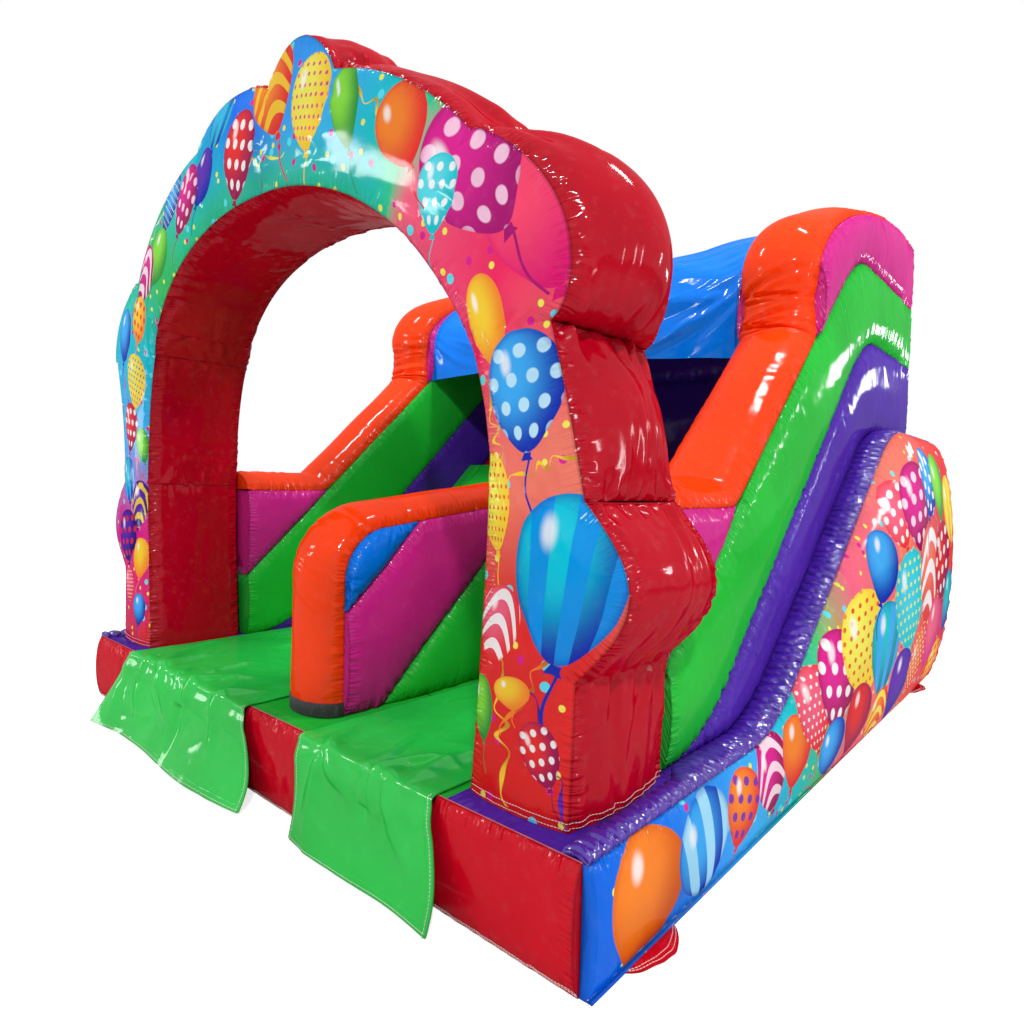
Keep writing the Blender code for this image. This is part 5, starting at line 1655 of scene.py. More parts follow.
def let_fall(made, held, frames):
    """A sheet's cloth simulation, held by its weights, with its movement eased to the cap."""
    scene = bpy.context.scene
    rest = read_points(made.data)
    group = made.vertex_groups.new(name="held")
    for index, weight in enumerate(held.ravel()):
        if weight > 0:
            group.add([index], float(weight), "REPLACE")
    cloth = made.modifiers.new("settling", "CLOTH")
    settings = cloth.settings
    settings.quality = 5
    settings.mass = 0.4
    settings.tension_stiffness = 30.0
    settings.compression_stiffness = 30.0
    settings.shear_stiffness = 15.0
    settings.bending_stiffness = 3.0
    settings.vertex_group_mass = "held"
    cloth.collision_settings.distance_min = 0.002
    cloth.point_cache.frame_start = 1
    cloth.point_cache.frame_end = frames
    for step in range(1, frames + 1):
        scene.frame_set(step)
    settled = read_points(made.evaluated_get(bpy.context.evaluated_depsgraph_get()).data)
    made.modifiers.remove(cloth)
    made.vertex_groups.remove(group)
    scene.frame_set(1)
    move = settled - rest
    length = np.maximum(np.linalg.norm(move, axis=1, keepdims=True), 1e-9)
    kept = rest + move * np.minimum(length, SHEET_CAP * np.tanh(length / SHEET_CAP)) / length
    made.data.vertices.foreach_set("co", kept.ravel())
    made.data.update()


def thicken(made, thickness):
    """Gives a sheet its thickness and smooths it, as a plain mesh."""
    smooth = made.modifiers.new("smooth", "SUBSURF")
    smooth.levels = smooth.render_levels = 1
    thick = made.modifiers.new("thickness", "SOLIDIFY")
    thick.thickness = thickness
    thick.offset = 0.0
    mesh = evaluated_mesh(made)
    made.modifiers.clear()
    made.data = mesh
    shade(mesh)


def upwards(grid):
    """Normals of an open sheet, turned to its upper face."""
    normal = grid_normals(grid, cyclic=False)
    return normal if normal[..., 2].sum() > 0 else -normal


def press(made, grid, lift, floor=None):
    """Moves a sheet's points along its normals, but not below a floor, and gives the new grid."""
    grid = grid + upwards(grid) * lift[..., None]
    if floor is not None:
        grid[..., 2] = np.maximum(grid[..., 2], floor)
    made.data.vertices.foreach_set("co", grid.ravel())
    return grid


def canopy_line():
    """The canopy's line in a side view, from its front hem up and back to the rear wall."""
    front = TOWER_FRONT + CANOPY_INSET
    rear = BASE_DEPTH - REAR_WALL_DEPTH / 2
    path = [(front, TOWER_SHOULDER - CANOPY_DROP), (front, TOWER_SHOULDER)]
    for share in CANOPY_STATIONS:
        y = front + (rear - front) * share
        risen = CANOPY_RISE * min(share / CANOPY_RISEN_SHARE, 1.0)
        path.append((y, float(capping_z(y - CANOPY_INSET)) + risen))
    path[-1] = (rear, REAR_WALL_TOP + REAR_CAPPING + SEAM_GAP * 2 + CANOPY_THICKNESS)
    line = spaced(np.array(path), 0.012)
    return smoothed(line, 6)


# Tension creases: flat start and end, width and height; across from the left edge, back from the front hem
CANOPY_CREASES = (
    (2.06, 0.42, 1.10, 0.08, 0.020, 0.011), (2.06, 0.50, 0.95, 0.30, 0.022, 0.010),
    (2.06, 0.58, 1.10, 0.52, 0.020, -0.009), (2.04, 0.66, 0.90, 0.72, 0.022, 0.010),
    (2.02, 0.78, 1.00, 0.98, 0.020, 0.009), (2.00, 0.90, 1.20, 1.24, 0.022, 0.009),
    (0.06, 0.46, 0.80, 0.12, 0.020, 0.010), (0.06, 0.56, 0.95, 0.44, 0.022, -0.008),
    (0.06, 0.70, 0.85, 0.82, 0.020, 0.009), (1.95, 0.34, 1.45, 0.03, 0.016, 0.009),
    (1.98, 0.38, 1.25, 0.20, 0.014, -0.007), (0.10, 0.36, 0.55, 0.04, 0.016, 0.008),
)


# Fans of tension folds: place across and along, folds in a turn, height and phase
CANOPY_FANS = ((1.12, 0.30, 13.0, 0.015, 0.4), (-1.12, 0.62, 10.0, 0.008, 1.9))
CANOPY_SAG = 0.020
CANOPY_CREASE_SCALE = 1.5


def canopy_lift(x, run, share, pinned):
    """The height of the canopy's folds over its line: fans out of the towers' necks, waves and a sag."""
    lift = np.zeros((len(run), len(x)))
    for centre_x, centre_run, count, strength, phase in CANOPY_FANS:
        across = np.abs(centre_x - x)[None]
        along = (run - centre_run)[:, None]
        angle = np.arctan2(along, across)
        far = np.hypot(along, across)
        wave = np.sin(angle * count + phase + 0.8 * np.sin(angle * 3.1 + phase))
        fold = strength * np.sign(wave) * np.abs(wave) ** 0.8
        lift += fold * np.exp(-(far / 1.25) ** 2) * smoothstep(far / 0.25)
    waves = 0.009 * np.sin(math.tau * (share[None] * 3.5 + run[:, None] * 1.1))
    lift += waves * (1 - run / run[-1])[:, None]
    sag = -CANOPY_SAG * np.sin(np.pi * share)[None] * smoothstep(run / 0.5)[:, None]
    return (lift + sag) * pinned * smoothstep((run[-1] - run) / 0.15)[:, None]


def build_canopy():
    """A sheet stretched between the towers, with tension folds that fan out of the right tower's neck."""
    line = canopy_line()
    normal = upward(line, 2)
    run = running(line)
    half = LANE_HALF - CLEAR
    share = np.linspace(0, 1, 150)
    x = -half + 2 * half * share
    pinned = np.sin(np.pi * share)[None] ** 0.6
    lift = canopy_lift(x, run, share, pinned)
    grid = points(x[None], line[:, :1], line[:, 1:])
    bowed = CANOPY_HEM_BOW * (1 - ((x + 0.25) / 1.3) ** 2)
    grid[..., 2] += bowed * np.clip(1 - run / CANOPY_DROP, 0, 1)[:, None]
    out = np.stack([np.zeros(len(line)), normal[:, 0], normal[:, 1]], axis=1)
    grid = grid + out[:, None] * lift[..., None]
    across_flat, along_flat = np.meshgrid(x + half, run)
    near = np.minimum(across_flat, 2 * half - across_flat)
    mesh = sheet_mesh("canopy", grid, np.stack([along_flat, near], axis=-1))
    fabric = vinyl("canopy", 0.07, coat=0.13, hem=0.02, colour=set_colour("blue"))
    made = finish_piece("canopy_sheet_skin", mesh, [fabric], ["canopy_sheet"], None)
    held = np.zeros(grid.shape[:2])
    held[:, :2] = held[:, -2:] = 1.0
    held[-2:] = 1.0
    settle(made, held, [], CANOPY_FRAMES)
    crisp = ridges(across_flat, along_flat, CANOPY_CREASES, 1.1) * pinned * CANOPY_CREASE_SCALE
    press(made, read_points(made.data).reshape(grid.shape), crisp)
    thicken(made, 0.003)
    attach(made, MAIN_BODY)


def apron_point(share, down, edges, hem, reach, bow):
    """A point of the flap: over the front beam, then down to the ground in broad folds."""
    level = BEAM_HEIGHT + SEAM_GAP + APRON_THICKNESS / 2
    turn = np.minimum(down / APRON_BEND_SHARE, 1.0) * math.pi / 2
    fall = np.maximum(down - APRON_BEND_SHARE, 0.0) / (1 - APRON_BEND_SHARE)
    out = reach[0] + (reach[1] - reach[0]) * share + bow * np.sin(math.tau * (share * 0.9 + 0.05))
    y = -CLEAR - APRON_ROUND * np.sin(turn) - (out - APRON_ROUND) * fall ** 1.15
    z = level - APRON_ROUND * (1 - np.cos(turn)) - (level - APRON_ROUND - APRON_HEM_HEIGHT) * fall
    flare = smoothstep(down / 0.85) ** 0.8
    low = edges[0] + (hem[0] - edges[0]) * flare
    high = edges[1] + (hem[1] - edges[1]) * flare
    return low * (1 - share) + high * share, y, z


def ridges(across, along, creases, crest):
    """Tension creases of a sheet: each a line from one flat point to another; a crest of 1 is sharp."""
    total = np.zeros(np.broadcast_shapes(across.shape, along.shape))
    for x0, y0, x1, y1, width, height in creases:
        line = np.array([x1 - x0, y1 - y0])
        length = float(np.hypot(*line))
        line = line / length
        place = ((across - x0) * line[0] + (along - y0) * line[1]) / length
        apart = (across - x0) * line[1] - (along - y0) * line[0]
        apart = apart + 0.10 * length * np.sin(np.pi * np.clip(place, 0, 1)) * np.sign(height)
        fade = smoothstep(place / 0.3 + 0.1) * smoothstep((1.1 - place) / 0.45)
        wide = width * (0.6 + 0.9 * np.clip(place, 0, 1))
        total += height * fade * np.exp(-np.abs(apart / wide) ** crest)
    return total


def small_creases(width, low, high, count, seed):
    """Short crisp creases in every direction, spread over a sheet."""
    rng = np.random.default_rng(seed)
    rows = []
    for _ in range(count):
        x, y = rng.uniform(0, width), rng.uniform(low, high)
        turn, length = rng.uniform(0, math.tau), rng.uniform(0.10, 0.26)
        rows.append((x, y, x + length * math.cos(turn), y + length * math.sin(turn),
                     rng.uniform(0.008, 0.016), rng.uniform(0.003, 0.006) * rng.choice((-1, 1))))
    return rows


def build_apron(word, edges, hem, reach, bow, creases):
    """One sheet that lies on the entry and falls over the front beam to the ground."""
    level = BEAM_HEIGHT + SEAM_GAP + APRON_THICKNESS / 2
    columns = max(int((edges[1] - edges[0]) / 0.0125), 30)
    share = np.linspace(0, 1, columns)[None]
    lie = np.linspace(APRON_LIE, 0.0, 84)[:-1, None]
    down = np.linspace(0, 1, 38)[:, None]
    flat_x = (edges[1] - edges[0]) * share
    top = points(edges[0] + flat_x + 0 * lie, lie + 0 * share, level)
    x, y, z = apron_point(share + 0 * down, down + 0 * share, edges, hem, reach, bow)
    grid = np.concatenate([top, points(x, y, z)])
    run = running(grid[:, columns // 2])
    behind = (run - APRON_LIE)[:, None]
    on_top = behind < APRON_ROUND * 1.8
    start = smoothstep((behind + APRON_LIE) / 0.05)

    def above_deck(lift):
        return np.where(on_top, np.abs(lift) * start, lift)

    lift = ridges(flat_x, behind, creases, 1.5) * 0.9
    lift = lift * (0.25 + 0.75 * smoothstep(np.minimum(flat_x, flat_x[:, -1:] - flat_x) / 0.12))
    lift += 0.0016 * (1 + np.sin(flat_x * 23 + behind * 9) * np.sin(behind * 17 - flat_x * 5))
    lift = above_deck(lift)
    lift += 0.004 * np.exp(-((behind - 0.03) / 0.05) ** 2)
    grid = grid + upwards(grid) * lift[..., None]
    grid[..., 2] = np.maximum(grid[..., 2], APRON_LOWEST)
    wide = flat_x[0]
    along, across = np.meshgrid(wide, run)
    near = np.minimum(np.minimum(along, wide[-1] - along), np.minimum(across, run[-1] - across))
    mesh = sheet_mesh(f"{word}_apron", grid, np.stack([across + along, near], axis=-1))
    fabric = vinyl("apron_sheet", 0.07, 0.0, 0.28, hem=0.027, colour=set_colour("apron"))
    made = finish_piece(f"{word}_apron_sheet", mesh, [fabric], [f"{word}_entry_mat", f"{word}_apron_flap"],
                        None)
    held = np.zeros(grid.shape[:2])
    held[:len(lie) + 3] = 1.0
    proxies = [collider("beam_proxy", (-HALF_WIDTH, -BASE_DEPTH / 2 - 0.028, 0.0),
                        (HALF_WIDTH, -1.2, BEAM_HEIGHT)),
               collider("ground_proxy", (-3.0, -3.5, -0.2), (3.0, -1.0, 0.0))]
    settle(made, held, proxies, APRON_FRAMES)
    small = small_creases(float(wide[-1]), -APRON_LIE, 0.34, 46, len(creases))
    crisp = ridges(flat_x, behind, creases, 1.0) * 0.8 + ridges(flat_x, behind, small, 1.0)
    crisp = above_deck(crisp * smoothstep(np.minimum(flat_x, float(wide[-1]) - flat_x) / 0.09))
    settled = press(made, read_points(made.data).reshape(grid.shape), crisp, APRON_LOWEST)
    GRIDS[f"{word}_apron"] = (settled, upwards(settled))
    thicken(made, 0.0025)
    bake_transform(made)


# Tension creases: flat start and end, width and height; across from the left edge, down from the hinge
LEFT_CREASES = (
    (0.10, -0.42, 0.42, 0.10, 0.022, 0.020), (0.30, -0.30, 0.52, 0.22, 0.020, 0.018),
    (0.42, -0.10, 0.60, 0.34, 0.018, -0.014), (0.55, -0.34, 0.66, 0.06, 0.016, 0.012),
    (0.78, -0.20, 0.62, 0.20, 0.020, 0.014), (0.20, -0.05, 0.30, 0.26, 0.030, 0.016),
    (0.95, -0.12, 0.86, 0.30, 0.024, 0.014), (1.18, -0.10, 1.02, 0.34, 0.026, -0.012),
    (0.05, -0.10, 0.12, 0.34, 0.030, 0.014), (0.70, -0.62, 0.80, -0.28, 0.016, 0.007),
    (0.46, -0.80, 0.36, -0.46, 0.018, 0.008), (0.98, -0.80, 1.02, -0.40, 0.016, 0.007),
)
RIGHT_CREASES = (
    (0.08, -0.16, 0.30, 0.14, 0.020, 0.018), (0.26, -0.26, 0.34, 0.20, 0.018, -0.014),
    (0.50, -0.20, 0.38, 0.16, 0.018, 0.016), (0.56, -0.36, 0.52, 0.02, 0.018, 0.014),
    (0.44, -0.06, 0.56, 0.26, 0.024, 0.012), (0.16, 0.02, 0.10, 0.36, 0.028, 0.012),
    (0.30, -0.70, 0.36, -0.36, 0.016, 0.007), (0.50, -0.86, 0.46, -0.52, 0.016, 0.007),
)


def build_aprons():
    reach = DIVIDER_THICKNESS / 2 + TUBE_CROWN + APRON_SIDE_GAP
    edge = ARCH_INNER - ARCH_CROWN - APRON_SIDE_GAP
    left, right = DIVIDER_X - reach, DIVIDER_X + reach
    build_apron("left", (-edge, left), (-edge - 0.060, left + 0.165), (0.205, 0.135), -0.030, LEFT_CREASES)
    build_apron("right", (right, edge), (right + 0.045, edge + 0.080), (0.105, 0.135), 0.012, RIGHT_CREASES)


# Anchor tabs, wear band and rear fittings

TAB_THICKNESS = 0.005


def build_tabs():
    for side, word in ((-1, "left"), (1, "right")):
        for end, front in (("front", 0.05), ("rear", BASE_DEPTH - TAB_LENGTH - 0.05)):
            share = np.linspace(0, 1, 90)
            lobe = ball((share - TAB_LOBE_SHARE) / (1 - TAB_LOBE_SHARE * 2)) ** BALL_FULLNESS
            out = TAB_STRIP + (TAB_REACH - TAB_STRIP) * lobe
            inner = HALF_WIDTH + CLEAR + (0.005 * 0.65 if end == "rear" else 0.001)
            y = front + TAB_LENGTH * share
            step = np.linspace(0, 1, 12)
            wave = 0.5 + 0.35 * np.sin(share * 17 + side) + 0.15 * np.sin(share * 41)
            lift = TAB_THICKNESS + 0.012 * (wave * lobe)[:, None] * step[None] ** 1.5
            top = points(side * (inner + out[:, None] * step[None]), y[:, None], lift)
            bottom = points(side * (inner + out[:, None] * step[None, ::-1]), y[:, None],
                            np.maximum(lift[:, ::-1] - TAB_THICKNESS, 0.0) + 0.0008)
            edge = points(side * (inner + out[:, None] + 0.0012), y[:, None],
                          lift[:, -1:] - TAB_THICKNESS / 2)
            rings = np.concatenate([top, edge, bottom], axis=1)
            skin(f"anchor_tab_{end}_{word}", rings, np.array([0, 13]), [RED, RED], [None, None],
                 300 + side, flat_sides=(0, 1), swell=0.0)


def build_wear_band():
    """A black wear strip round the foot of the divider's nose."""
    half = DIVIDER_THICKNESS / 2
    angles = np.linspace(0, np.pi, 90)
    profile = np.array([(0.0022, 0.001), (0.0052, 0.003), (0.0056, 0.025), (0.0052, 0.047), (0.0022, 0.050),
                        (0.0012, 0.0475), (0.0012, 0.025), (0.0012, 0.003)])
    reach_x = half + profile[None, :, 0] + 0.0 * angles[:, None]
    reach_y = DIVIDER_CAPPING + profile[None, :, 0] + 0.0 * angles[:, None]
    rings = points(DIVIDER_X + np.cos(angles)[:, None] * reach_x,
                   DIVIDER_FRONT - np.sin(angles)[:, None] * reach_y,
                   BEAM_HEIGHT + 0.001 + profile[None, :, 1])
    made = skin("divider_wear_band", rings, np.array([0, 4]), [CRIMSON, CRIMSON], [None, None], 310,
                swell=0.0)
    made.data.materials.clear()
    made.data.materials.append(woven("wear_strip", (0.012, 0.012, 0.014)))


def ring_piece(name, node, radii, spans, waves, material):
    """A closed band round the air sleeve's axis: an outer face, an inner face and two rims."""
    angles = np.linspace(0, math.tau, 97)[:-1]
    profile = [(radii[1], y) for y in np.linspace(spans[0], spans[1], 30)]
    profile += [(radii[0], y) for y in np.linspace(spans[1], spans[0], 30)]
    profile = np.array(profile)
    crumple = waves * ((profile[:, 1] - spans[0]) / (spans[1] - spans[0])) ** 1.5
    flutter = np.sin(angles * 5 + 1.0) + 0.6 * np.sin(angles * 9)
    radius = profile[None, :, 0] + crumple[None] * flutter[:, None]
    low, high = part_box("air_sleeve")
    across = SLEEVE_X + radius * np.cos(angles)[:, None]
    up = ((low + high) / 2).z + radius * np.sin(angles)[:, None]
    verts = np.stack(np.broadcast_arrays(across, low[1] + profile[None, :, 1], up), axis=-1)
    n, m = verts.shape[:2]
    index = np.arange(n * m).reshape(n, m)
    ahead = np.roll(index, -1, axis=0)
    quads = np.stack([index, np.roll(index, -1, axis=1), np.roll(ahead, -1, axis=1), ahead],
                     axis=-1).reshape(-1, 4)
    run = np.repeat(angles[:, None] * radii[1], m, axis=1)
    near = np.repeat(np.minimum(profile[:, 1] - spans[0], spans[1] - profile[:, 1])[None], n, axis=0)
    mesh = new_mesh(name, verts, quads.tolist(), np.stack([run, near], axis=-1))
    face_outwards(mesh)
    shade(mesh, 50)
    finish_piece(name, mesh, [material], [node])


TOOTH_SIZE = 0.0045


def teeth_tree():
    """Geometry nodes that set a zip's teeth in two staggered rows along a line."""
    numbers = (("Pitch", 0.005), ("Tooth", TOOTH_SIZE))
    tree, w, given = shape_tree("zip_teeth", "Line", numbers, "Metal", "Teeth")
    line = even_points(w, given["Line"], given["Pitch"])
    tall = w.times(given["Tooth"], 1.1)
    size = w.join(w.times(given["Pitch"], 0.5), w.times(given["Tooth"], 0.5), tall)
    tooth = w.node("GeometryNodeMeshCube", Size=size).outputs[0]
    odd = w.math("MODULO", w.node("GeometryNodeInputIndex").outputs[0], 2.0)
    shift = w.times(w.minus(odd, 0.5), w.times(given["Tooth"], 0.7))
    placed = w.node("GeometryNodeSetPosition", Geometry=line, Offset=w.join(0.0, 0.0, shift)).outputs[0]
    teeth = w.node("GeometryNodeInstanceOnPoints", Points=placed, Instance=tooth).outputs[0]
    close_tree(w, teeth, given["Metal"], "Teeth")
    return tree


def line_object(name, lines):
    """Loose edges along lines, which carry repeated shapes."""
    edges = []
    for i, line in enumerate(lines):
        first = sum(len(part) for part in lines[:i])
        edges.extend((first + k, first + k + 1) for k in range(len(line) - 1))
    mesh = bpy.data.meshes.new(name)
    mesh.from_pydata(np.concatenate(lines).tolist(), edges, [])
    return put(name, mesh)


def build_rear_fittings(sizes):
    outer, inner = SLEEVE_RADIUS, SLEEVE_RADIUS - SLEEVE_WALL
    ring_piece("air_sleeve_skin", "air_sleeve", (inner + 0.002, outer), (0.0, SLEEVE_LENGTH), 0.002,
               vinyl("red"))
    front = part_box("air_sleeve_strap")[0][1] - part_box("air_sleeve")[0][1]
    ring_piece("air_sleeve_strap_webbing", "air_sleeve_strap", (outer + 0.0015, outer + 0.0045),
               (front, front + 0.04), 0.0, woven("webbing", (0.012, 0.012, 0.014)))
    finishes = {"zip_tape": woven("zip_webbing", (0.02, 0.02, 0.024)), "zip_slider": plated_metal()}
    for node, finish in finishes.items():
        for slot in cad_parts[node].material_slots:
            slot.material = finish
    low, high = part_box("zip_tape")
    middle = (low.z + high.z) / 2
    ends = np.linspace(low.x + 0.01, high.x - 0.01, 3)
    line = np.stack(np.broadcast_arrays(ends, high.y + 0.0012, middle), axis=1)
    teeth = line_object("zip_teeth", [line])
    values = {"Pitch": sizes.tooth_pitch, "Tooth": TOOTH_SIZE, "Metal": plated_metal()}
    teeth.data = run_nodes(teeth, teeth_tree(), values)
    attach(teeth, MAIN_BODY)
    build_zip_cover()


def build_zip_cover():
    """The flap over the zip: it leaves the wall at its top edge and hangs in front of the teeth."""
    low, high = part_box("zip_cover_flap")
    columns = np.linspace(low.x, high.x, 120)[:, None]
    down = np.linspace(0, 1, 16)[None]
    back = low.y + (high.y - low.y - 0.003) * smoothstep(down / 0.55)
    wave = 0.0012 * np.sin(columns * 37) * down
    fall = high.z - (high.z - low.z) * down
    outer = np.stack(np.broadcast_arrays(columns, back + 0.003 + wave, fall), axis=-1)
    inner = outer[:, ::-1] - np.array([0.0, 0.0022, 0.0])
    skin("zip_cover_flap", np.concatenate([outer, inner], axis=1), np.array([0, 16]), [PURPLE, PURPLE],
         [None, None], 320, body="zip_cover", flat_sides=(0, 1), swell=0.0)


# Piping and stitches

def stitch_tree():
    """Geometry nodes that sew a row of thread stitches along lines."""
    numbers = (("Pitch", 0.009), ("Length", 0.0065), ("Radius", 0.001))
    tree, w, given = shape_tree("thread_stitches", "Lines", numbers, "Thread", "Stitches")
    line = even_points(w, given["Lines"], given["Pitch"])
    thread = w.node("GeometryNodeMeshCylinder", {"fill_type": "TRIANGLE_FAN"}, Vertices=5,
                    Radius=given["Radius"], Depth=given["Length"]).outputs[0]
    tangent = w.node("GeometryNodeInputTangent").outputs[0]
    turned = w.node("FunctionNodeAlignRotationToVector", {"axis": "Z"}, Vector=tangent).outputs[0]
    sewn = w.node("GeometryNodeInstanceOnPoints", Points=line, Instance=thread, Rotation=turned).outputs[0]
    close_tree(w, sewn, given["Thread"], "Stitches")
    return tree


def seam_line(node, column, lift):
    """A line along a skin at a column of its grid, lifted off the fabric."""
    grid, normal = GRIDS[node]
    m = grid.shape[1]
    low = int(math.floor(column))
    share = column - low
    line = grid[:, low % m] * (1 - share) + grid[:, (low + 1) % m] * share
    out = unit(normal[:, low % m] * (1 - share) + normal[:, (low + 1) % m] * share)
    return line + out * lift


def end_line(node, row, first, last, lift):
    """A line round a skin along one row of its grid."""
    grid, normal = GRIDS[node]
    return (grid[row] + normal[row] * lift)[first:last]


def piping(name, lines, radius, material):
    """Closed cords of piping along lines."""
    verts, faces, total = [], [], 0
    around = np.linspace(0, math.tau, PIPING_CUTS + 1)[:-1]
    for line in lines:
        line = spaced(line, 0.012)
        tangent = unit(np.gradient(line, axis=0))
        side = unit(np.cross(tangent, np.array([0.31, 0.52, 0.79])))
        up = np.cross(tangent, side)
        rings = (line[:, None] + radius * (np.cos(around)[None, :, None] * side[:, None]
                                           + np.sin(around)[None, :, None] * up[:, None]))
        verts.append(rings.reshape(-1, 3))
        faces.extend(tube_faces(len(line), PIPING_CUTS, total))
        faces.append(tuple(range(total, total + PIPING_CUTS)))
        total += len(line) * PIPING_CUTS
        faces.append(tuple(range(total - 1, total - 1 - PIPING_CUTS, -1)))
    mesh = new_mesh(name, np.concatenate(verts), faces)
    face_outwards(mesh)
    shade(mesh)
    finish_piece(name, mesh, [material], [])


def sew(name, lines, tree, sizes, body=MAIN_BODY):
    carrier = line_object(name, lines)
    thread = vinyl("thread", 0.6, seam=False, coat=0.0)
    values = {"Pitch": sizes.stitch_pitch, "Length": sizes.stitch_length, "Radius": sizes.stitch_radius,
              "Thread": thread}
    carrier.data = run_nodes(carrier, tree, values)
    carrier.data.shade_smooth()
    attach(carrier, body)


# Cuts round a cord of piping, lift of a thread off its fabric, radius of the base sides' hem cords
PIPING_CUTS = 8
THREAD_LIFT = 0.0006
HEM_RADIUS = 0.005


def build_seams(sizes):
    tree = stitch_tree()
    lines, welts, hems = [], [], []
    for word, side in (("left", -1), ("right", 1)):
        edge = seam_line(f"{word}_base_side", 62.0, 0.0)
        hems.extend(edge + (side * out, 0.0, HEM_RADIUS) for out in (0.004, 0.011, 0.018))
        lines.append(edge + (side * 0.011, 0.0, 2 * HEM_RADIUS + THREAD_LIFT))
    for column in (18.5, 19.3):
        lines.append(seam_line("front_base_beam", column, THREAD_LIFT))
    for word in ("left", "right"):
        for row in (1, 3):
            lines.append(end_line(f"arch_{word}_leg", row, 1, sum(ARCH_CUTS[:2]), THREAD_LIFT))
        for part in ("leg", "column"):
            welts.append(end_line(f"arch_{word}_{part}", -1, ARCH_CUTS[0], None, -0.001))
    for word in ("left", "right"):
        for end in ("front", "rear"):
            lines.extend(seam_line(f"anchor_tab_{end}_{word}", column, THREAD_LIFT) for column in (7.5, 9.5))
    sew("frame_stitches", lines, tree, sizes)
    for word in ("left", "right"):
        grid, normal = GRIDS[f"{word}_apron"]
        face = grid + normal * 0.0018
        first = int(np.argmax(grid[:, 0, 1] < -BASE_DEPTH / 2 - 0.012))
        hem = [face[first:, 1], face[first:, -2], face[-2, 1:-1]]
        sew(f"{word}_apron_stitches", hem, tree, sizes, f"{word}_flap")
    top_edge = seam_line("front_base_beam", 0.0, 0.001)
    # Painted highlight: a real cord, coloured paler than the red fabric for the light line along the beam's
    # lit top edge
    pale_highlight_piping = vinyl("base_piping", 0.35, seam=False, colour=(0.60, 0.16, 0.20))
    piping("base_piping", [top_edge], 0.0015, pale_highlight_piping)
    piping("neck_welts", welts, 0.0035, vinyl("crimson"))
    low_edge = seam_line("front_base_beam", 14.0, 0.0) + (0.0, 0.0, 0.005)
    piping("front_hem", [low_edge], 0.004, vinyl("red"))
    print_hem = printed_vinyl("print_side_hem", (1, 2), side_background, [], [])
    piping("side_hems", hems, HEM_RADIUS, print_hem)


# Stage

CAMERA_PLACE = (2.2960, -2.9318, 1.1118)
CAMERA_YAW = 0.7207
CAMERA_PITCH = 0.0389
CAMERA_ROLL = -0.0247
LENS = 23.65
SENSOR = 36.0
FLOOR_HALF = 40.0
FLOOR_GLOW = 0.74
WORLD_FILL = 0.32


# Lamps: name, place, target, size and power
LAMPS = (
    ("key", (4.5, -5.0, 5.5), (0.3, 0.0, 1.0), (0.4, 0.4), 210),
    ("fill_left", (-4.0, -5.8, 4.0), (0.0, 0.0, 1.0), (1.3, 1.0), 110),
    ("top_left", (-1.6, -1.5, 5.6), (-0.6, 0.0, 0.5), (0.3, 0.9), 80),
    ("top_right", (2.3, 0.3, 5.8), (1.2, 0.2, 0.0), (0.35, 1.2), 100),
    ("low_left", (-4.7, -4.0, 1.1), (-0.3, -1.9, 0.2), (1.2, 0.6), 22),
    ("low_back", (2.8, 5.2, 2.5), (1.5, 0.0, 0.4), (0.7, 0.4), 40),
    ("tall_back", (4.6, 3.7, 2.5), (1.4, -1.4, 1.3), (0.12, 0.8), 35),
    ("tall_right", (6.5, -0.8, 1.8), (1.4, -1.4, 1.2), (0.12, 1.4), 50),
)


def add_light(name, place, target, size, power):
    data = bpy.data.lights.new(name, "AREA")
    data.shape = "RECTANGLE"
    data.size, data.size_y = size
    data.energy = power
    made = put(name, data)
    made.location = place
    made.rotation_euler = (Vector(target) - Vector(place)).to_track_quat("-Z", "Y").to_euler()


def add_floor():
    """A pale floor that glows for the camera alone, so that it melts into the white background."""
    material, w = fresh_material("studio_floor")
    tone = w.blend(w.noise(object_place(w), 3.0, 4.0), (0.88, 0.88, 0.88), (0.91, 0.91, 0.91))
    matte = w.node("ShaderNodeBsdfDiffuse", Color=tone, Roughness=0.6)
    glow = w.node("ShaderNodeEmission", Color=PURE_WHITE, Strength=FLOOR_GLOW)
    empty = w.node("ShaderNodeEmission", Color=BLACK, Strength=0.0)
    lit = w.node("ShaderNodeMixShader", Fac=w.node("ShaderNodeLightPath").outputs["Is Camera Ray"])
    both = w.node("ShaderNodeAddShader")
    w.feed(lit.inputs[1], empty.outputs[0])
    w.feed(lit.inputs[2], glow.outputs[0])
    w.feed(both.inputs[0], matte.outputs[0])
    w.feed(both.inputs[1], lit.outputs[0])
    w.node("ShaderNodeOutputMaterial", Surface=both.outputs[0])
    half = FLOOR_HALF
    corners = np.array([(-half, -half, 0.0), (half, -half, 0.0), (half, half, 0.0), (-half, half, 0.0)])
    mesh = new_mesh("studio_floor", corners, [(0, 1, 2, 3)])
    mesh.materials.append(material)
    put("studio_floor", mesh)


def add_world():
    """A white surround, dimmer where it only fills in the light on matte faces."""
    world = bpy.data.worlds.new("studio")
    world.use_nodes = True
    world.node_tree.nodes.clear()
    w = Wiring(world.node_tree)
    rays = w.node("ShaderNodeLightPath").outputs
    direct = w.math("MAXIMUM", rays["Is Glossy Ray"], rays["Is Transmission Ray"])
    direct = w.math("MAXIMUM", rays["Is Camera Ray"], direct)
    strength = w.plus(WORLD_FILL, w.times(direct, 1 - WORLD_FILL))
    back = w.node("ShaderNodeBackground", Color=PURE_WHITE, Strength=strength)
    w.node("ShaderNodeOutputWorld", Surface=back.outputs[0])
    bpy.context.scene.world = world


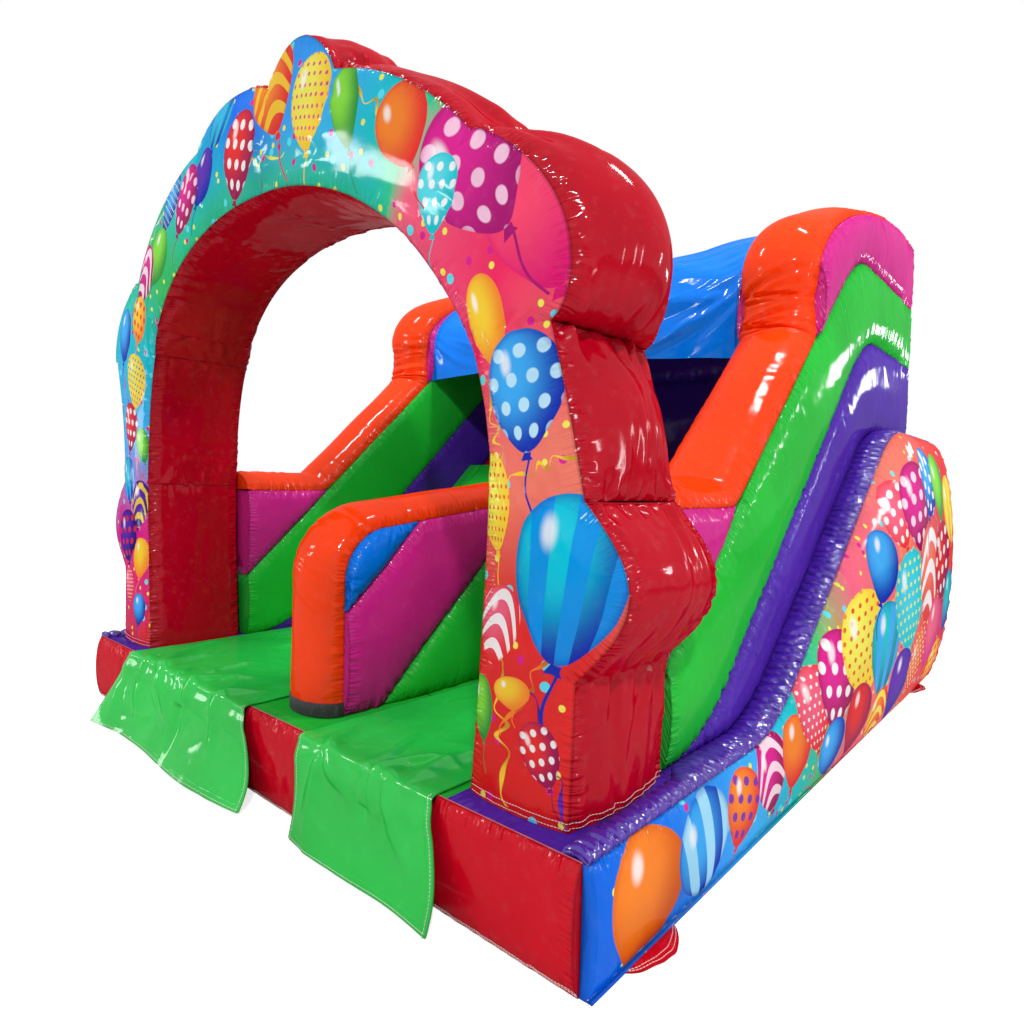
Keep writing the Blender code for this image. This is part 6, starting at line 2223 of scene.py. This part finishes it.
def add_camera():
    """The camera that was fitted to the photo."""
    data = bpy.data.cameras.new("photo_camera")
    data.sensor_width = SENSOR
    data.lens = LENS
    camera = put("photo_camera", data)
    sy, cy = math.sin(CAMERA_YAW), math.cos(CAMERA_YAW)
    sp, cp = math.sin(CAMERA_PITCH), math.cos(CAMERA_PITCH)
    ahead = Vector((-sy * cp, cy * cp, -sp))
    right = Vector((cy, sy, 0.0))
    down = ahead.cross(right)
    sr, cr = math.sin(CAMERA_ROLL), math.cos(CAMERA_ROLL)
    axes = Matrix((right * cr + down * sr, right * sr - down * cr, -ahead))
    camera.matrix_world = Matrix.Translation(CAMERA_PLACE) @ axes.transposed().to_4x4()
    bpy.context.scene.camera = camera


def build_stage():
    bpy.context.scene.view_settings.view_transform = "Standard"
    add_floor()
    add_world()
    for lamp in LAMPS:
        add_light(*lamp)
    add_camera()


# Operators and panel

class PieceOperator:
    """Base of the operators; each builds its pieces from the scene's sizes and colours."""

    bl_options = {"REGISTER", "UNDO"}

    def sizes(self, context):
        return context.scene.party_slide_sizes


class SLIDE_OT_stage(PieceOperator, bpy.types.Operator):
    """Add the pale floor, the studio light and the camera"""
    bl_idname = "party_slide.stage"
    bl_label = "Stage"

    def execute(self, context):
        build_stage()
        return {"FINISHED"}


class SLIDE_OT_arch(PieceOperator, bpy.types.Operator):
    """Add the skins of the arch's ten chambers"""
    bl_idname = "party_slide.arch"
    bl_label = "Arch"

    def execute(self, context):
        build_arch(self.sizes(context))
        return {"FINISHED"}


class SLIDE_OT_walls(PieceOperator, bpy.types.Operator):
    """Add the banded side walls and their orange cappings"""
    bl_idname = "party_slide.walls"
    bl_label = "Side walls"

    def execute(self, context):
        build_walls(self.sizes(context))
        return {"FINISHED"}


class SLIDE_OT_base(PieceOperator, bpy.types.Operator):
    """Add the front beam, the printed sides and their pleated ledges"""
    bl_idname = "party_slide.base"
    bl_label = "Base"

    def execute(self, context):
        build_base(self.sizes(context))
        return {"FINISHED"}


class SLIDE_OT_lanes(PieceOperator, bpy.types.Operator):
    """Add the deck, the slide bed, the platform and the climbing steps"""
    bl_idname = "party_slide.lanes"
    bl_label = "Lanes"

    def execute(self, context):
        build_lanes(self.sizes(context))
        return {"FINISHED"}


class SLIDE_OT_rear_wall(PieceOperator, bpy.types.Operator):
    """Add the tubes of the rear wall and their capping"""
    bl_idname = "party_slide.rear_wall"
    bl_label = "Rear wall"

    def execute(self, context):
        build_rear_wall(self.sizes(context))
        return {"FINISHED"}


class SLIDE_OT_divider(PieceOperator, bpy.types.Operator):
    """Add the divider between the lanes and its wear band"""
    bl_idname = "party_slide.divider"
    bl_label = "Divider"

    def execute(self, context):
        build_divider(self.sizes(context))
        build_wear_band()
        return {"FINISHED"}


class SLIDE_OT_canopy(PieceOperator, bpy.types.Operator):
    """Add the sheet stretched between the towers"""
    bl_idname = "party_slide.canopy"
    bl_label = "Canopy"

    def execute(self, context):
        build_canopy()
        return {"FINISHED"}


class SLIDE_OT_aprons(PieceOperator, bpy.types.Operator):
    """Add the two entry sheets that fall over the front beam"""
    bl_idname = "party_slide.aprons"
    bl_label = "Aprons"

    def execute(self, context):
        build_aprons()
        return {"FINISHED"}


class SLIDE_OT_tabs(PieceOperator, bpy.types.Operator):
    """Add the four anchor tabs"""
    bl_idname = "party_slide.tabs"
    bl_label = "Anchor tabs"

    def execute(self, context):
        build_tabs()
        return {"FINISHED"}


class SLIDE_OT_rear_fittings(PieceOperator, bpy.types.Operator):
    """Add the air sleeve, its strap, the zip's teeth and its cover flap"""
    bl_idname = "party_slide.rear_fittings"
    bl_label = "Rear fittings"

    def execute(self, context):
        build_rear_fittings(self.sizes(context))
        return {"FINISHED"}


class SLIDE_OT_seams(PieceOperator, bpy.types.Operator):
    """Add the piping and the rows of stitches; the skins must be there already"""
    bl_idname = "party_slide.seams"
    bl_label = "Piping and stitches"

    def execute(self, context):
        build_seams(self.sizes(context))
        return {"FINISHED"}


OPERATORS = (SLIDE_OT_stage, SLIDE_OT_arch, SLIDE_OT_walls, SLIDE_OT_base, SLIDE_OT_lanes,
             SLIDE_OT_rear_wall, SLIDE_OT_divider, SLIDE_OT_canopy, SLIDE_OT_aprons, SLIDE_OT_tabs,
             SLIDE_OT_rear_fittings, SLIDE_OT_seams)


class SLIDE_PT_pieces(bpy.types.Panel):
    """Lists the operators with the sizes and colours that they read"""
    bl_label = "Party Slide"
    bl_idname = "SLIDE_PT_pieces"
    bl_space_type = "VIEW_3D"
    bl_region_type = "UI"
    bl_category = "Party Slide"

    def draw(self, context):
        for group in (context.scene.party_slide_sizes, context.scene.party_slide_colours):
            box = self.layout.box()
            for key in type(group).__annotations__:
                box.prop(group, key)
        for kind in OPERATORS:
            self.layout.operator(kind.bl_idname)


CLASSES = (SlideSizes, SlideColours, *OPERATORS, SLIDE_PT_pieces)


def register():
    for kind in CLASSES:
        bpy.utils.register_class(kind)
    bpy.types.Scene.party_slide_sizes = bpy.props.PointerProperty(type=SlideSizes)
    bpy.types.Scene.party_slide_colours = bpy.props.PointerProperty(type=SlideColours)


def unregister():
    del bpy.types.Scene.party_slide_colours
    del bpy.types.Scene.party_slide_sizes
    for kind in reversed(CLASSES):
        bpy.utils.unregister_class(kind)


def main():
    register()
    for kind in OPERATORS:
        group, name = kind.bl_idname.split(".")
        getattr(getattr(bpy.ops, group), name)()


if __name__ == "__main__":
    main()
